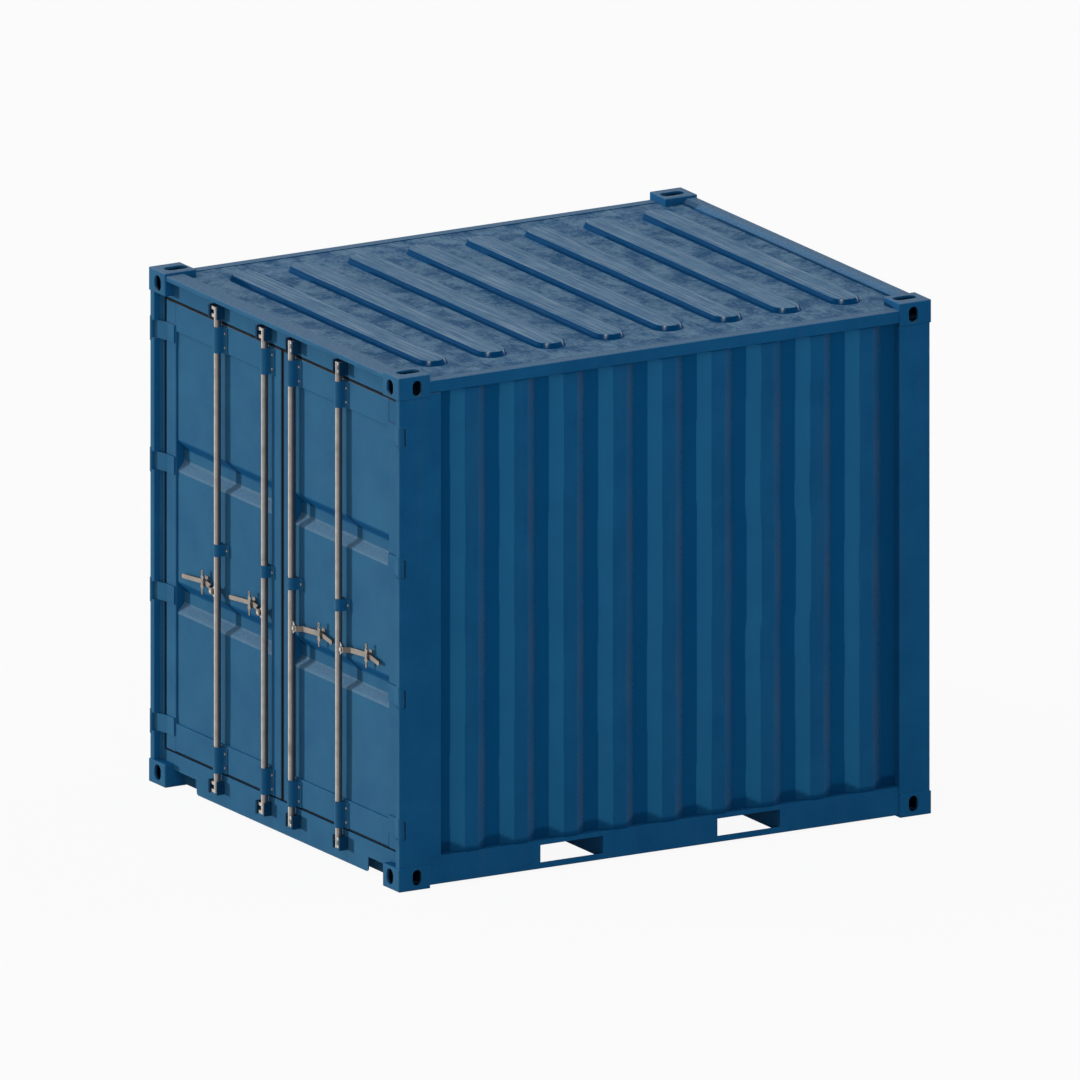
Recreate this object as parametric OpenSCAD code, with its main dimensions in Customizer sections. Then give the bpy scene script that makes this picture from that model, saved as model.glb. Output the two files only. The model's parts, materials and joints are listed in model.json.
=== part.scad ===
// Ten-foot freight container: hollow steel box with a pair of hinged end doors,
// four turning locking bars and lift-and-swing handles. Doors face -Y.

/* [Overall] */
// Outside width over the corner castings
box_w = 2438; // [2200:1:2600]
// Outside length over the corner castings
box_l = 2991; // [2700:1:3600]
// Outside height over the corner castings
box_h = 2591; // [2300:1:2896]

/* [Corner castings] */
// Width of a casting across the box
casting_w = 162; // [150:1:180]
// Length of a casting along the box
casting_l = 178; // [168:1:196]
// Height of a casting
casting_h = 118; // [112:1:130]
// Wall thickness of a casting
casting_wall = 20; // [16:1:24]
// Rounding of a casting's edges
casting_edge_r = 8; // [3:0.5:12]
// Width of the lock slot in the top or bottom face
slot_w = 63.5; // [58:0.5:66]
// Length of the lock slot, end to end
slot_l = 124; // [112:1:128]
// Slot centre from the side plane of the box
slot_inset_x = 89.5; // [84:0.5:95]
// Slot centre from the end plane of the box
slot_inset_y = 102; // [97:0.5:105]
// Width of the lashing hole in the side face
side_hole_w = 51; // [44:1:58]
// Width of the lashing hole in the end face
end_hole_w = 63.5; // [56:0.5:68]
// Height of the lashing holes
lash_hole_h = 79.4; // [70:0.2:84]
// Lashing hole centre from the casting's top or bottom face
lash_hole_drop = 64; // [60:0.5:68]

/* [Corner posts] */
// Set-back of the post faces from the casting faces
post_inset = 5.5; // [3:0.5:9]
// Length of the door post's side plate
door_post_l = 233; // [215:1:250]
// Width of the door post's front flange
door_post_face_w = 40; // [34:1:48]
// Depth of the step beside the front flange
door_post_step = 39; // [36:0.5:42]
// Width of the inner channel beside the door
door_post_channel_w = 26; // [20:1:34]
// Length of the inner channel along the box
door_post_channel_l = 66; // [60:1:80]
// Depth of the posts measured from the side plate inwards
post_depth = 50; // [48:0.5:56]
// Width of the rear post's end face
rear_post_face_w = 95; // [80:1:120]
// Thickness of the rear post's end leg
rear_post_leg = 50; // [40:1:60]

/* [Rails] */
// Height of the top side rail
top_rail_h = 63; // [50:1:80]
// Width of the top side rail
top_rail_w = 60; // [50:1:70]
// Top side rail's face from the side plane
top_rail_inset = 9; // [6:0.5:14]
// Top side rail's top below the casting tops
top_rail_drop = 38; // [34:1:46]
// Height of the bottom side rail
bottom_rail_h = 143.5; // [138:0.5:150]
// Flange width of the bottom side rail
bottom_rail_w = 50; // [44:1:56]
// Bottom side rail's face from the side plane
bottom_rail_inset = 12; // [9:0.5:15]
// Clearance of the rails above the ground
rail_lift = 12.5; // [10:0.5:16]
// Plate thickness of the rails, sill and fork pockets
rail_plate = 6; // [4:0.5:8]
// Thickness of the rear bottom rail along the box
rear_rail_l = 48; // [40:1:60]
// Depth of the rear top rail along the box
rear_top_rail_l = 74; // [64:1:80]
// Chamfer of the rear top rail's inner edge
rear_top_chamfer = 18; // [8:1:20]
// Bend radius of posts, rails and door tubes
bend_r = 6; // [2:0.5:8]

/* [Fork pockets] */
// Width of a fork pocket
pocket_w = 352; // [320:1:380]
// Height of a fork pocket window
pocket_h = 88; // [76:1:92]
// Pocket window's lower edge above the ground
pocket_lift = 44; // [36:1:48]
// Distance between the two pockets' centres
pocket_spacing = 994; // [900:1:1100]
// Shift of the pocket pair towards the doors
pocket_shift = 21; // [0:1:40]

/* [Floor] */
// Thickness of the floor boards
floor_t = 28; // [22:1:32]
// Floor top below the sill top
floor_drop = 3; // [1:0.5:6]
// Height of a cross member
cross_h = 118; // [105:1:122]
// Flange width of a cross member
cross_w = 45; // [36:1:56]
// Plate thickness of a cross member
cross_t = 4; // [3:0.5:6]

/* [Walls and roof] */
// Sheet thickness of walls and roof
sheet_t = 2; // [1.5:0.1:3]
// Distance between wall ridges
ridge_pitch = 277; // [265:1:284]
// Width of a ridge's outer face
ridge_w = 72; // [60:1:84]
// Width of a ridge's slope
ridge_slope = 68; // [56:1:72]
// Depth of the corrugation
ridge_depth = 36; // [24:1:38]
// Ridge faces of the side wall from the side plane
wall_inset = 14; // [12:0.5:16]
// Shift of the side ridges towards the rear
ridge_shift = 30; // [0:1:40]
// Bend radius of the pressed sheets
sheet_bend_r = 12; // [4:0.5:14]
// Ridge faces of the rear wall from the rear plane
rear_wall_inset = 10; // [8:0.5:12]
// Roof sheet below the casting tops
roof_drop = 41; // [39:0.5:44]
// Distance between roof ribs
rib_pitch = 331; // [310:1:345]
// Width of a roof rib
rib_w = 156; // [120:1:190]
// Height of a roof rib
rib_h = 26; // [15:1:30]
// Draft of a rib's sides
rib_draft = 9; // [4:0.5:18]
// End of a roof rib from the side plane
rib_inset = 244; // [220:1:300]
// Shift of the ribs towards the rear
rib_shift = 28; // [0:1:50]

/* [Door frame end] */
// Door, header and sill faces from the end plane
door_inset = 48.5; // [46:0.5:51]
// Header lip's face from the end plane
header_lip_inset = 6.5; // [4:0.5:10]
// Header top below the casting tops
header_drop = 14; // [10:0.5:18]
// Height of the header
header_h = 122; // [119:0.5:130]
// Height of the header lip
header_lip_h = 26; // [20:1:30]
// Rise of the slope under the header lip
header_lip_slope = 12; // [8:1:14]
// Header and sill length along the box
header_l = 61; // [56:1:66]
// Sill top above the ground
sill_top = 173; // [168:1:180]
// Width of the notch at each end of the sill
notch_w = 223; // [180:1:260]
// Top of the notch above the ground
notch_top = 88; // [70:1:100]
// Rounding of the sill's lower corners
notch_r = 18; // [10:1:24]

/* [Doors] */
// Thickness of a door
door_t = 50; // [44:1:56]
// Gap beside a door at its hinge edge
door_gap_side = 17.5; // [15:0.5:20]
// Half of the gap between the doors
door_gap_mid = 12; // [10:0.5:16]
// Gap above a door
door_gap_top = 15; // [12:0.5:18]
// Gap below a door
door_gap_bottom = 11; // [10:0.5:14]
// Free space between a gasket and what it faces
gasket_clear = 5; // [4:0.5:6]
// Depth of a gasket
gasket_l = 24; // [16:1:30]
// Width of the door's upright tubes
stile_w = 95; // [85:1:105]
// Height of the door's top and bottom tubes
door_rail_h = 142; // [136:1:150]
// Set-back of the door panel from the frame face
panel_inset = 10; // [6:0.5:12]
// Sheet thickness of the door panel
panel_t = 3; // [2:0.5:4]
// Height of a pressed groove
groove_h = 148; // [110:1:170]
// Depth of a pressed groove
groove_depth = 36; // [20:1:36]
// Height of a groove's slope
groove_slope = 40; // [30:1:46]

/* [Hinges] */
// Hinge pin axis from the side plane
pin_inset_x = 13; // [12.5:0.1:14]
// Hinge pin axis from the end plane
pin_inset_y = 13.5; // [13:0.1:14.5]
// Radius of a hinge pin
pin_r = 8; // [6:0.25:8.5]
// Running clearance round pins
pin_clear = 0.05; // [0.02:0.01:0.1]
// Outside radius of a hinge knuckle
knuckle_r = 11.5; // [10:0.25:12]
// Height of a hinge knuckle
knuckle_h = 90; // [70:1:110]
// Space above and below a knuckle
knuckle_gap = 0.5; // [0.3:0.1:2]
// Height of a lug on the post
lug_h = 15; // [10:1:20]
// Depth of the pocket in the post
hinge_pocket_l = 36; // [36:0.5:38]
// Plate thickness of a hinge blade
blade_t = 8; // [6:0.5:9]
// Foot of the blade inside the door's edge
blade_foot = 25; // [20:1:32]
// Length of the blade's plate on the door
blade_plate_l = 64; // [50:1:74]

/* [Locking gear] */
// Radius of a locking bar
bar_r = 17; // [14:0.5:17.5]
// Locking bar axis from the end plane
bar_inset = 24.5; // [23.5:0.5:25]
// Inner bar from the door's meeting edge
inner_bar_offset = 119; // [110:1:130]
// Bar tops above the header's lower edge
bar_rise = 76; // [70:1:80]
// Bar ends below the sill top
bar_fall = 89; // [84:1:94]
// Height of a cam
cam_h = 54; // [46:1:58]
// Height of one prong of a cam
prong_h = 16; // [12:1:20]
// Reach of a cam's prongs from the bar axis
prong_r = 40; // [38:0.5:40]
// Thickness of the prongs behind the bar axis
prong_back = 6; // [4:0.5:8]
// Thickness of the prongs before the bar axis
prong_front = 15; // [12:0.5:16]
// Thickness of a keeper's cheeks
keeper_t = 6; // [4:0.5:8]
// Space between the prong tips and the cheek
keeper_gap = 4.5; // [3:0.5:6]
// Overlap of a keeper's lip with the prong tips
keeper_lip = 3; // [2:0.25:3]
// Lip's back face from the bar axis
keeper_lip_back = 18.5; // [18:0.25:19]
// Thickness of a keeper's lip
keeper_lip_t = 5; // [4:0.25:5.5]
// Margin of a keeper above and below its cam
keeper_margin = 6; // [3:1:8]
// Plate thickness of a bar guide
guide_t = 5; // [4:0.25:5.5]
// Space between a bar and its guide
guide_clear = 0.3; // [0.2:0.05:0.5]
// Width of a guide's flange
guide_flange = 38; // [30:1:44]
// Height of the top and bottom guides
end_guide_h = 131; // [110:1:136]
// Height of the middle guide
mid_guide_h = 60; // [50:1:80]
// Top guide below the door's top edge
guide_gap = 9; // [4:1:14]

/* [Handles] */
// Reach of a handle from the bar axis
handle_l = 370; // [340:1:385]
// Height of a handle between hub and catch
handle_h = 27; // [22:1:32]
// Height of a handle's tip
tip_h = 22; // [18:1:28]
// Rise of a handle at its catch
handle_arch = 18; // [8:1:22]
// Set of a handle's grip towards the door
handle_set = 26; // [16:1:28]
// Thickness of a handle
handle_t = 8; // [6:0.5:9]
// Handle pivot from the bar axis
pivot_offset = 40; // [38:1:46]
// Radius of a handle's hub
hub_r = 16; // [14:0.5:17]
// Radius of a handle's pivot pin
pivot_r = 6; // [5:0.25:7]
// Radius of the pivot pin's head
pivot_head_r = 10; // [9:0.5:12]
// Height of the pivot pin's head
pivot_head_h = 4; // [3:0.5:5]
// Thickness of the lug on the bar
bar_lug_t = 10; // [8:0.5:11]
// Height of the lug at the bar
bar_lug_h = 62; // [44:1:70]
// Lug's full height from the bar axis
bar_lug_flat = 22; // [18:1:28]
// Catch of the left door's handles from the bar axis
left_catch_offset = 155; // [140:1:200]
// Catch of the right door's handles from the bar axis
right_catch_offset = 260; // [220:1:290]
// Width of a catch
catch_w = 28; // [22:1:36]
// Width of a catch's arms
catch_arm = 11; // [8:0.5:14]
// Plate thickness of a catch
catch_t = 5; // [4:0.5:5.5]
// Space under a resting handle
catch_clear = 0.5; // [0.3:0.1:1]
// Space before a resting handle
catch_gap = 5.2; // [5:0.1:7]
// Height of the catch's eye above the handle
catch_rise = 50; // [40:1:56]
// Tail of the catch below the handle
catch_tail = 58; // [40:1:60]
// Outside radius of a catch's eye
eye_rim = 10; // [8:0.5:13]
// Radius of the eye's hole
eye_r = 5; // [4:0.25:6]

/* [Hidden] */
$fn = 48;
overrun = 20;
// Chords in each bend
arc_steps = 3;
half_w = box_w / 2;
half_l = box_l / 2;

// Hinge heights, grooves, middle guide and handles as shares of the door's height
hinge_shares = [0.054, 0.3475, 0.6375, 0.931];
groove_shares = [0.3445, 0.6605];
mid_guide_share = 0.497;
handle_share = 0.4015;
// Outer bar as a share of the door's width, from the meeting edge
outer_bar_share = 0.517;
// Cross members as shares of the box's length from its middle
cross_shares = [-0.375, -0.29, -0.06, 0.045, 0.27, 0.355, 0.425];
roof_rib_count = floor((box_l - header_l - door_inset) / rib_pitch);
side_ridge_count = floor((2 * half_l - door_post_l - casting_l) / ridge_pitch);
rear_ridge_count = floor((box_w - 2 * rear_post_face_w) / ridge_pitch);

post_x = half_w - post_inset;
post_y = half_l - post_inset;
post_bottom = casting_h;
post_top = box_h - casting_h;
casting_inner_x = half_w - casting_w;
casting_inner_y = half_l - casting_l;
channel_x = post_x - door_post_face_w - door_post_channel_w;
post_inner_x = post_x - post_depth;
door_post_end = door_post_l - post_y;
step_y = door_post_step - post_y;
channel_end = step_y + door_post_channel_l;

top_rail_top = box_h - top_rail_drop;
top_rail_bottom = top_rail_top - top_rail_h;
top_rail_x = half_w - top_rail_inset;
bottom_rail_top = rail_lift + bottom_rail_h;
bottom_rail_x = half_w - bottom_rail_inset;
bottom_rail_inner_x = bottom_rail_x - bottom_rail_w;
rear_rail_y = post_y - rear_rail_l;
rear_top_rail_y = post_y - rear_top_rail_l;
rear_post_in = post_x - rear_post_face_w;
rear_leg_y = post_y - rear_post_leg;
pocket_ys = [for (s = [-1, 1]) s * pocket_spacing / 2 - pocket_shift];

door_y = door_inset - half_l;
frame_back_y = door_y + header_l;
header_top = box_h - header_drop;
header_bottom = header_top - header_h;
floor_top = sill_top - floor_drop;
floor_bottom = floor_top - floor_t;
cross_bottom = floor_bottom - cross_h;

door_low = sill_top + door_gap_bottom;
door_high = header_bottom - door_gap_top;
door_h = door_high - door_low;
door_in = door_gap_mid;
door_out = channel_x - door_gap_side;
door_w = door_out - door_in;
panel_in = door_in + stile_w;
panel_out = door_out - stile_w;
panel_low = door_low + door_rail_h;
panel_high = door_high - door_rail_h;
panel_y = door_y + panel_inset;

pin_x = half_w - pin_inset_x;
pin_y = pin_inset_y - half_l;
hinge_zs = [for (s = hinge_shares) door_low + s * door_h];
hinge_pocket_h = knuckle_h + 2 * knuckle_gap;
pin_h = hinge_pocket_h + 2 * lug_h;
blade_end = [door_out - blade_foot - pin_x, door_y - pin_y];
blade_reach = norm(blade_end);
blade_l = sqrt(blade_reach * blade_reach - knuckle_r * knuckle_r);
blade_turn = atan2(blade_end[1], blade_end[0]) + asin(knuckle_r / blade_reach);

bar_y = bar_inset - half_l;
inner_bar_x = door_in + inner_bar_offset;
outer_bar_x = door_in + outer_bar_share * door_w;
bar_xs = [inner_bar_x, outer_bar_x];
bar_top = header_bottom + bar_rise;
bar_low = sill_top - bar_fall;
guide_r = bar_r + guide_clear;
hat_r = guide_r + guide_t;
handle_z = door_low + handle_share * door_h;
mid_guide_z = door_low + mid_guide_share * door_h;
cheek_x = prong_r + keeper_gap;
lug_front = bar_y - bar_lug_t / 2;
handle_back = lug_front - guide_clear;
handle_front = handle_back - handle_t;
pin_head_back = handle_front - guide_clear;
grip_front = handle_front + handle_set;
catch_front = grip_front - catch_gap - catch_t;
arch_z = handle_z + handle_arch;

blue = "#2b5a7d";
deep_blue = "#1b4a70";
roof_blue = "#5a728c";
zinc = "#9a958e";
seal_black = "#1c1c1f";
board_brown = "#7d6248";

// Shared helpers

// The right-hand piece, or its mirror image on the left
module on_side(side) {
    if (side > 0) children();
    else mirror([1, 0, 0]) children();
}

// Box from its low and high corners
module block(low, high) {
    translate(low) cube(high - low);
}

// Rectangle centred on the origin with round corners
module rounded_rect(size, r) {
    square([size[0] - 2 * r, size[1]], center = true);
    square([size[0], size[1] - 2 * r], center = true);
    for (x = [-1, 1], y = [-1, 1])
        translate([x * (size[0] / 2 - r), y * (size[1] / 2 - r)]) circle(r);
}

// Strip with round ends between two points of the plane
module strip(a, b, w) {
    translate((a + b) / 2) rotate(atan2(b[1] - a[1], b[0] - a[0]) - 90) slot(w, norm(b - a) + w);
}

// Arc of radius r in place of the corner at p between the lines to a and b
function arc(a, p, b, r) = r == 0 ? [p] :
    let (u = (a - p) / norm(a - p), v = (b - p) / norm(b - p), half = acos(u * v) / 2,
        centre = p + (u + v) / norm(u + v) * r / sin(half), first = p + u * r / tan(half) - centre,
        way = u[0] * v[1] - u[1] * v[0] > 0 ? -1 : 1)
    [for (k = [0 : arc_steps])
        let (turn = atan2(first[1], first[0]) + way * (180 - 2 * half) * k / arc_steps)
        centre + r * [cos(turn), sin(turn)]];

// Closed outline with its corners turned into arcs, each of its own radius
function rounded(points, radii) = [for (i = [0 : len(points) - 1])
    each arc(points[(i + len(points) - 1) % len(points)], points[i],
        points[(i + 1) % len(points)], radii[i])];

// Open line with its corners turned into bends of radius r
function bent(points, r) = [for (i = [0 : len(points) - 1])
    each i == 0 || i == len(points) - 1 ? [points[i]] : arc(points[i - 1], points[i], points[i + 1], r)];

// Closed outline of a sheet from its front line and the step to its back
function sheet_outline(front, step) =
    concat(front, [for (i = [len(front) - 1 : -1 : 0]) front[i] + step]);

// Slot outline with round ends, long along its Y
module slot(w, l) {
    square([w, l - w], center = true);
    for (s = [-1, 1]) translate([0, s * (l - w) / 2]) circle(d = w);
}

// A profile in Y and Z, carried along X between two places
module along_x(low, high) {
    translate([low, 0, 0]) rotate([90, 0, 90]) linear_extrude(high - low) children();
}

// A profile in X and Z, carried along Y between two places
module along_y(low, high) {
    translate([0, high, 0]) rotate([90, 0, 0]) linear_extrude(high - low) children();
}

// A profile in X and Y, carried upwards between two heights
module upright(low, high) {
    translate([0, 0, low]) linear_extrude(high - low) children();
}

// Corner castings

// Top casting of the right rear corner
module casting() {
    size = [casting_w, casting_l, casting_h];
    mid = [half_w, half_l, box_h] - size / 2;
    cavity = size - casting_wall * [2, 2, 2];
    slot_x = half_w - slot_inset_x;
    slot_y = half_l - slot_inset_y;
    lash_z = box_h - lash_hole_drop;
    difference() {
        translate(mid) intersection() {
            linear_extrude(casting_h, center = true)
                rounded_rect([casting_w, casting_l], casting_edge_r);
            rotate([90, 0, 0]) linear_extrude(casting_l, center = true)
                rounded_rect([casting_w, casting_h], casting_edge_r);
            rotate([90, 0, 90]) linear_extrude(casting_w, center = true)
                rounded_rect([casting_l, casting_h], casting_edge_r);
        }
        translate(mid) cube(cavity, center = true);
        translate([slot_x, slot_y, 0]) upright(mid[2], box_h + overrun) slot(slot_w, slot_l);
        translate([0, slot_y, lash_z]) along_x(mid[0], half_w + overrun)
            slot(side_hole_w, lash_hole_h);
        translate([slot_x, 0, lash_z]) along_y(mid[1], half_l + overrun)
            slot(end_hole_w, lash_hole_h);
    }
}

module top_corner_castings() {
    color(blue) for (x = [0, 1], y = [0, 1]) mirror([x, 0, 0]) mirror([0, y, 0]) casting();
}

module bottom_corner_castings() {
    translate([0, 0, box_h]) mirror([0, 0, 1]) top_corner_castings();
}

// Corner posts

// Section of the right door post: flange, step, inner channel and side plate
module door_post_section() {
    face_in = post_x - door_post_face_w;
    polygon(rounded([
        [post_x, -post_y], [post_x, door_post_end], [post_inner_x, door_post_end],
        [post_inner_x, channel_end], [channel_x, channel_end], [channel_x, step_y],
        [face_in, step_y], [face_in, -post_y]
    ], [bend_r, 0, 0, 0, 0, bend_r, bend_r, bend_r]));
}

// Room for a knuckle and its blade in the post's outer corner
module hinge_pocket() {
    block([post_x - door_post_face_w - overrun, -half_l - overrun, -hinge_pocket_h / 2],
        [half_w + overrun, hinge_pocket_l - post_y, hinge_pocket_h / 2]);
}

module door_post(side) {
    color(blue) on_side(side) difference() {
        union() {
            upright(post_bottom, post_top) intersection() {
                door_post_section();
                translate([0, -half_l]) square([half_w, casting_l]);
            }
            upright(bottom_rail_top, top_rail_bottom) intersection() {
                door_post_section();
                translate([0, -casting_inner_y]) square([half_w, casting_inner_y]);
            }
            for (z = hinge_zs)
                translate([pin_x, pin_y, z]) cylinder(r = knuckle_r, h = pin_h, center = true);
        }
        for (z = hinge_zs) {
            translate([0, 0, z]) hinge_pocket();
            translate([pin_x, pin_y, z])
                cylinder(r = pin_r + pin_clear, h = pin_h, center = true);
        }
    }
}

module rear_post(side) {
    color(blue) on_side(side) upright(post_bottom, post_top) polygon(rounded([
        [post_x, casting_inner_y], [post_x, post_y], [rear_post_in, post_y],
        [rear_post_in, rear_leg_y], [post_inner_x, rear_leg_y], [post_inner_x, casting_inner_y]
    ], [0, bend_r, 0, 0, 0, 0]));
}

// Door end and rear end frames

module door_header() {
    lip_y = header_lip_inset - half_l;
    lip_low = header_top - header_lip_h;
    color(blue) {
        along_x(-casting_inner_x, casting_inner_x) polygon(rounded([
            [door_y, post_top], [frame_back_y, post_top], [frame_back_y, header_top],
            [lip_y, header_top], [lip_y, lip_low], [door_y, lip_low - header_lip_slope]
        ], [0, 0, bend_r, bend_r, bend_r, bend_r]));
        block([-channel_x, door_y, header_bottom], [channel_x, frame_back_y, post_top]);
    }
}

// Front outline of the sill: full height in the middle, notched at both ends
module sill_outline() {
    mid_x = casting_inner_x - notch_w;
    translate([-channel_x, casting_h]) square([2 * channel_x, sill_top - casting_h]);
    translate([-casting_inner_x, notch_top]) square([2 * casting_inner_x, sill_top - notch_top]);
    translate([-mid_x, rail_lift + notch_r]) square([2 * mid_x, notch_top - rail_lift]);
    translate([notch_r - mid_x, rail_lift]) square([2 * (mid_x - notch_r), notch_top - rail_lift]);
    for (s = [-1, 1]) translate([s * (mid_x - notch_r), rail_lift + notch_r]) circle(notch_r);
}

module door_sill() {
    color(blue) {
        along_y(door_y, door_y + rail_plate) sill_outline();
        block([-channel_x, door_y, sill_top - rail_plate], [channel_x, frame_back_y, sill_top]);
        block([-casting_inner_x, frame_back_y - rail_plate, rail_lift],
            [casting_inner_x, frame_back_y, sill_top]);
    }
}

module rear_top_rail() {
    color(blue) along_x(-casting_inner_x, casting_inner_x) polygon(rounded([
        [rear_top_rail_y, post_top], [post_y, post_top], [post_y, header_top],
        [rear_top_rail_y + rear_top_chamfer, header_top],
        [rear_top_rail_y, header_top - rear_top_chamfer]
    ], [0, 0, bend_r, bend_r, 0]));
}

module rear_bottom_rail() {
    color(blue) {
        block([-casting_inner_x, rear_rail_y, rail_lift], [casting_inner_x, post_y, casting_h]);
        block([-rear_post_in, rear_rail_y, casting_h], [rear_post_in, post_y, bottom_rail_top]);
    }
}

// Side rails and under-floor

module top_rail(side) {
    inner_x = top_rail_x - top_rail_w;
    color(blue) on_side(side) along_y(-casting_inner_y, casting_inner_y) polygon(rounded([
        [inner_x, top_rail_bottom], [top_rail_x, top_rail_bottom],
        [top_rail_x, top_rail_top], [inner_x, top_rail_top]
    ], [0, bend_r, bend_r, 0]));
}

module bottom_rail(side) {
    web_x = bottom_rail_x - rail_plate;
    color(blue) on_side(side) difference() {
        along_y(-casting_inner_y, casting_inner_y) polygon(rounded([
            [bottom_rail_inner_x, rail_lift], [bottom_rail_x, rail_lift],
            [bottom_rail_x, bottom_rail_top], [bottom_rail_inner_x, bottom_rail_top],
            [bottom_rail_inner_x, bottom_rail_top - rail_plate], [web_x, bottom_rail_top - rail_plate],
            [web_x, rail_lift + rail_plate], [bottom_rail_inner_x, rail_lift + rail_plate]
        ], [0, bend_r, 0, 0, 0, 0, 0, 0]));
        for (y = pocket_ys)
            block([bottom_rail_inner_x - overrun, y - pocket_w / 2, pocket_lift],
                [half_w, y + pocket_w / 2, pocket_lift + pocket_h]);
    }
}

// Two channels, open below, that guide the forks right through
module fork_pockets() {
    half_pocket = pocket_w / 2;
    top = pocket_lift + pocket_h;
    web_x = bottom_rail_x - rail_plate;
    color(deep_blue) for (y = pocket_ys) {
        block([-web_x, y - half_pocket - rail_plate, top],
            [web_x, y + half_pocket + rail_plate, top + rail_plate]);
        for (s = [-1, 1])
            translate([0, y + s * (half_pocket + rail_plate / 2), 0])
                block([-web_x, -rail_plate / 2, rail_lift + rail_plate], [web_x, rail_plate / 2, top]);
    }
}

module cross_members() {
    color(deep_blue) for (share = cross_shares) translate([0, share * box_l, 0])
        along_x(-bottom_rail_inner_x, bottom_rail_inner_x) difference() {
            translate([0, cross_bottom]) square([cross_w, cross_h]);
            translate([cross_t, cross_bottom + cross_t]) square([cross_w, cross_h - 2 * cross_t]);
        }
}

// Floor between the side rails, narrower where it passes the posts
module floor_boards() {
    color(board_brown) {
        block([-channel_x, frame_back_y, floor_bottom], [channel_x, channel_end, floor_top]);
        block([-bottom_rail_inner_x, channel_end, floor_bottom],
            [bottom_rail_inner_x, rear_leg_y, floor_top]);
        block([-rear_post_in, rear_leg_y, floor_bottom], [rear_post_in, rear_rail_y, floor_top]);
    }
}

// Walls and roof

// Profile of a ridged sheet: places along it, with 1 on a ridge and 0 in a valley
function ridge_profile(l, count, shift) = concat(
    [[-l / 2, 0]],
    [for (k = [0 : count - 1], p = [[-1, 1, 0], [-1, 0, 1], [1, 0, 1], [1, 1, 0]])
        [(k - (count - 1) / 2) * ridge_pitch + shift + p[0] * (ridge_w / 2 + p[1] * ridge_slope),
            p[2]]],
    [[l / 2, 0]]
);

// Pressed sheet standing on Z = 0 with its ridge faces at Y = 0, ridges outward along +Y
module ridged_sheet(l, h, count, shift) {
    front = [for (p = ridge_profile(l, count, shift)) [p[0], ridge_depth * (p[1] - 1)]];
    linear_extrude(h) polygon(sheet_outline(bent(front, sheet_bend_r), [0, -sheet_t]));
}

module side_wall(side) {
    l = casting_inner_y - door_post_end;
    mid = (casting_inner_y + door_post_end) / 2;
    color(deep_blue) on_side(side)
        translate([half_w - wall_inset, mid, bottom_rail_top]) rotate([0, 0, -90])
            ridged_sheet(l, top_rail_bottom - bottom_rail_top, side_ridge_count, mid - ridge_shift);
}

module rear_wall() {
    color(deep_blue) translate([0, half_l - rear_wall_inset, bottom_rail_top])
        ridged_sheet(2 * rear_post_in, post_top - bottom_rail_top, rear_ridge_count, 0);
}

// Solid of one roof rib with drafted sides and round ends
module rib_solid(l, w, h) {
    linear_extrude(h, scale = [1 - 2 * rib_draft / w, 1 - 2 * rib_draft / l], slices = 1)
        slot(w, l, $fn = 24);
}

module roof_panel() {
    top = box_h - roof_drop;
    rib_l = 2 * (half_w - rib_inset);
    inner_x = top_rail_x - top_rail_w;
    color(roof_blue) difference() {
        union() {
            upright(top - sheet_t, top) {
                translate([-inner_x, -casting_inner_y]) square([2 * inner_x, 2 * casting_inner_y]);
                translate([-casting_inner_x, frame_back_y])
                    square([2 * casting_inner_x, rear_top_rail_y - frame_back_y]);
            }
            for (k = [0 : roof_rib_count - 1])
                translate([0, (k - (roof_rib_count - 1) / 2) * rib_pitch + rib_shift, top - sheet_t])
                    rotate([0, 0, 90]) rib_solid(rib_l, rib_w, rib_h + sheet_t);
        }
        for (k = [0 : roof_rib_count - 1])
            translate([0, (k - (roof_rib_count - 1) / 2) * rib_pitch + rib_shift, top - 2 * sheet_t])
                rotate([0, 0, 90])
                    rib_solid(rib_l - 2 * sheet_t, rib_w - 2 * sheet_t, rib_h + sheet_t);
    }
}

// Hinges

module hinge_pins(side) {
    color(zinc) on_side(side) for (z = hinge_zs)
        translate([pin_x, pin_y, z]) cylinder(r = pin_r, h = pin_h, center = true);
}

// Knuckle, slanted blade and the plate that lies on the door
module door_hinges(side) {
    color(blue) on_side(side) for (z = hinge_zs) translate([0, 0, z]) difference() {
        upright(-knuckle_h / 2, knuckle_h / 2) {
            translate([pin_x, pin_y]) circle(knuckle_r);
            translate([pin_x, pin_y]) rotate(blade_turn) translate([0, -knuckle_r])
                square([blade_l, blade_t]);
            translate([door_out - blade_foot - blade_plate_l, door_y - blade_t])
                square([blade_plate_l, blade_t]);
        }
        translate([pin_x, pin_y]) cylinder(r = pin_r + pin_clear, h = pin_h, center = true);
    }
}

// Doors

// Two upright tubes with a tube between them at the top and at the bottom
module door_frame(side) {
    tube_y = door_y + door_t / 2;
    color(blue) on_side(side) {
        for (x = [door_in, panel_out]) translate([x + stile_w / 2, tube_y, 0])
            upright(door_low, door_high) rounded_rect([stile_w, door_t], bend_r);
        for (z = [door_low, panel_high]) translate([0, tube_y, z + door_rail_h / 2])
            along_x(panel_in, panel_out) rounded_rect([door_t, door_rail_h], bend_r);
    }
}

// Sheet pressed into two level grooves with slanting sides
module door_panel(side) {
    groove_y = panel_y + groove_depth;
    front = concat(
        [[panel_y, panel_low]],
        [for (s = groove_shares, p = [[-1, 0, 0], [-1, 1, 1], [1, 1, 1], [1, 0, 0]])
            [p[2] > 0 ? groove_y : panel_y,
                door_low + s * door_h + p[0] * (groove_h / 2 - p[1] * groove_slope)]],
        [[panel_y, panel_high]]
    );
    color(blue) on_side(side) along_x(panel_in, panel_out)
        polygon(sheet_outline(bent(front, sheet_bend_r), [panel_t, 0]));
}

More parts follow.
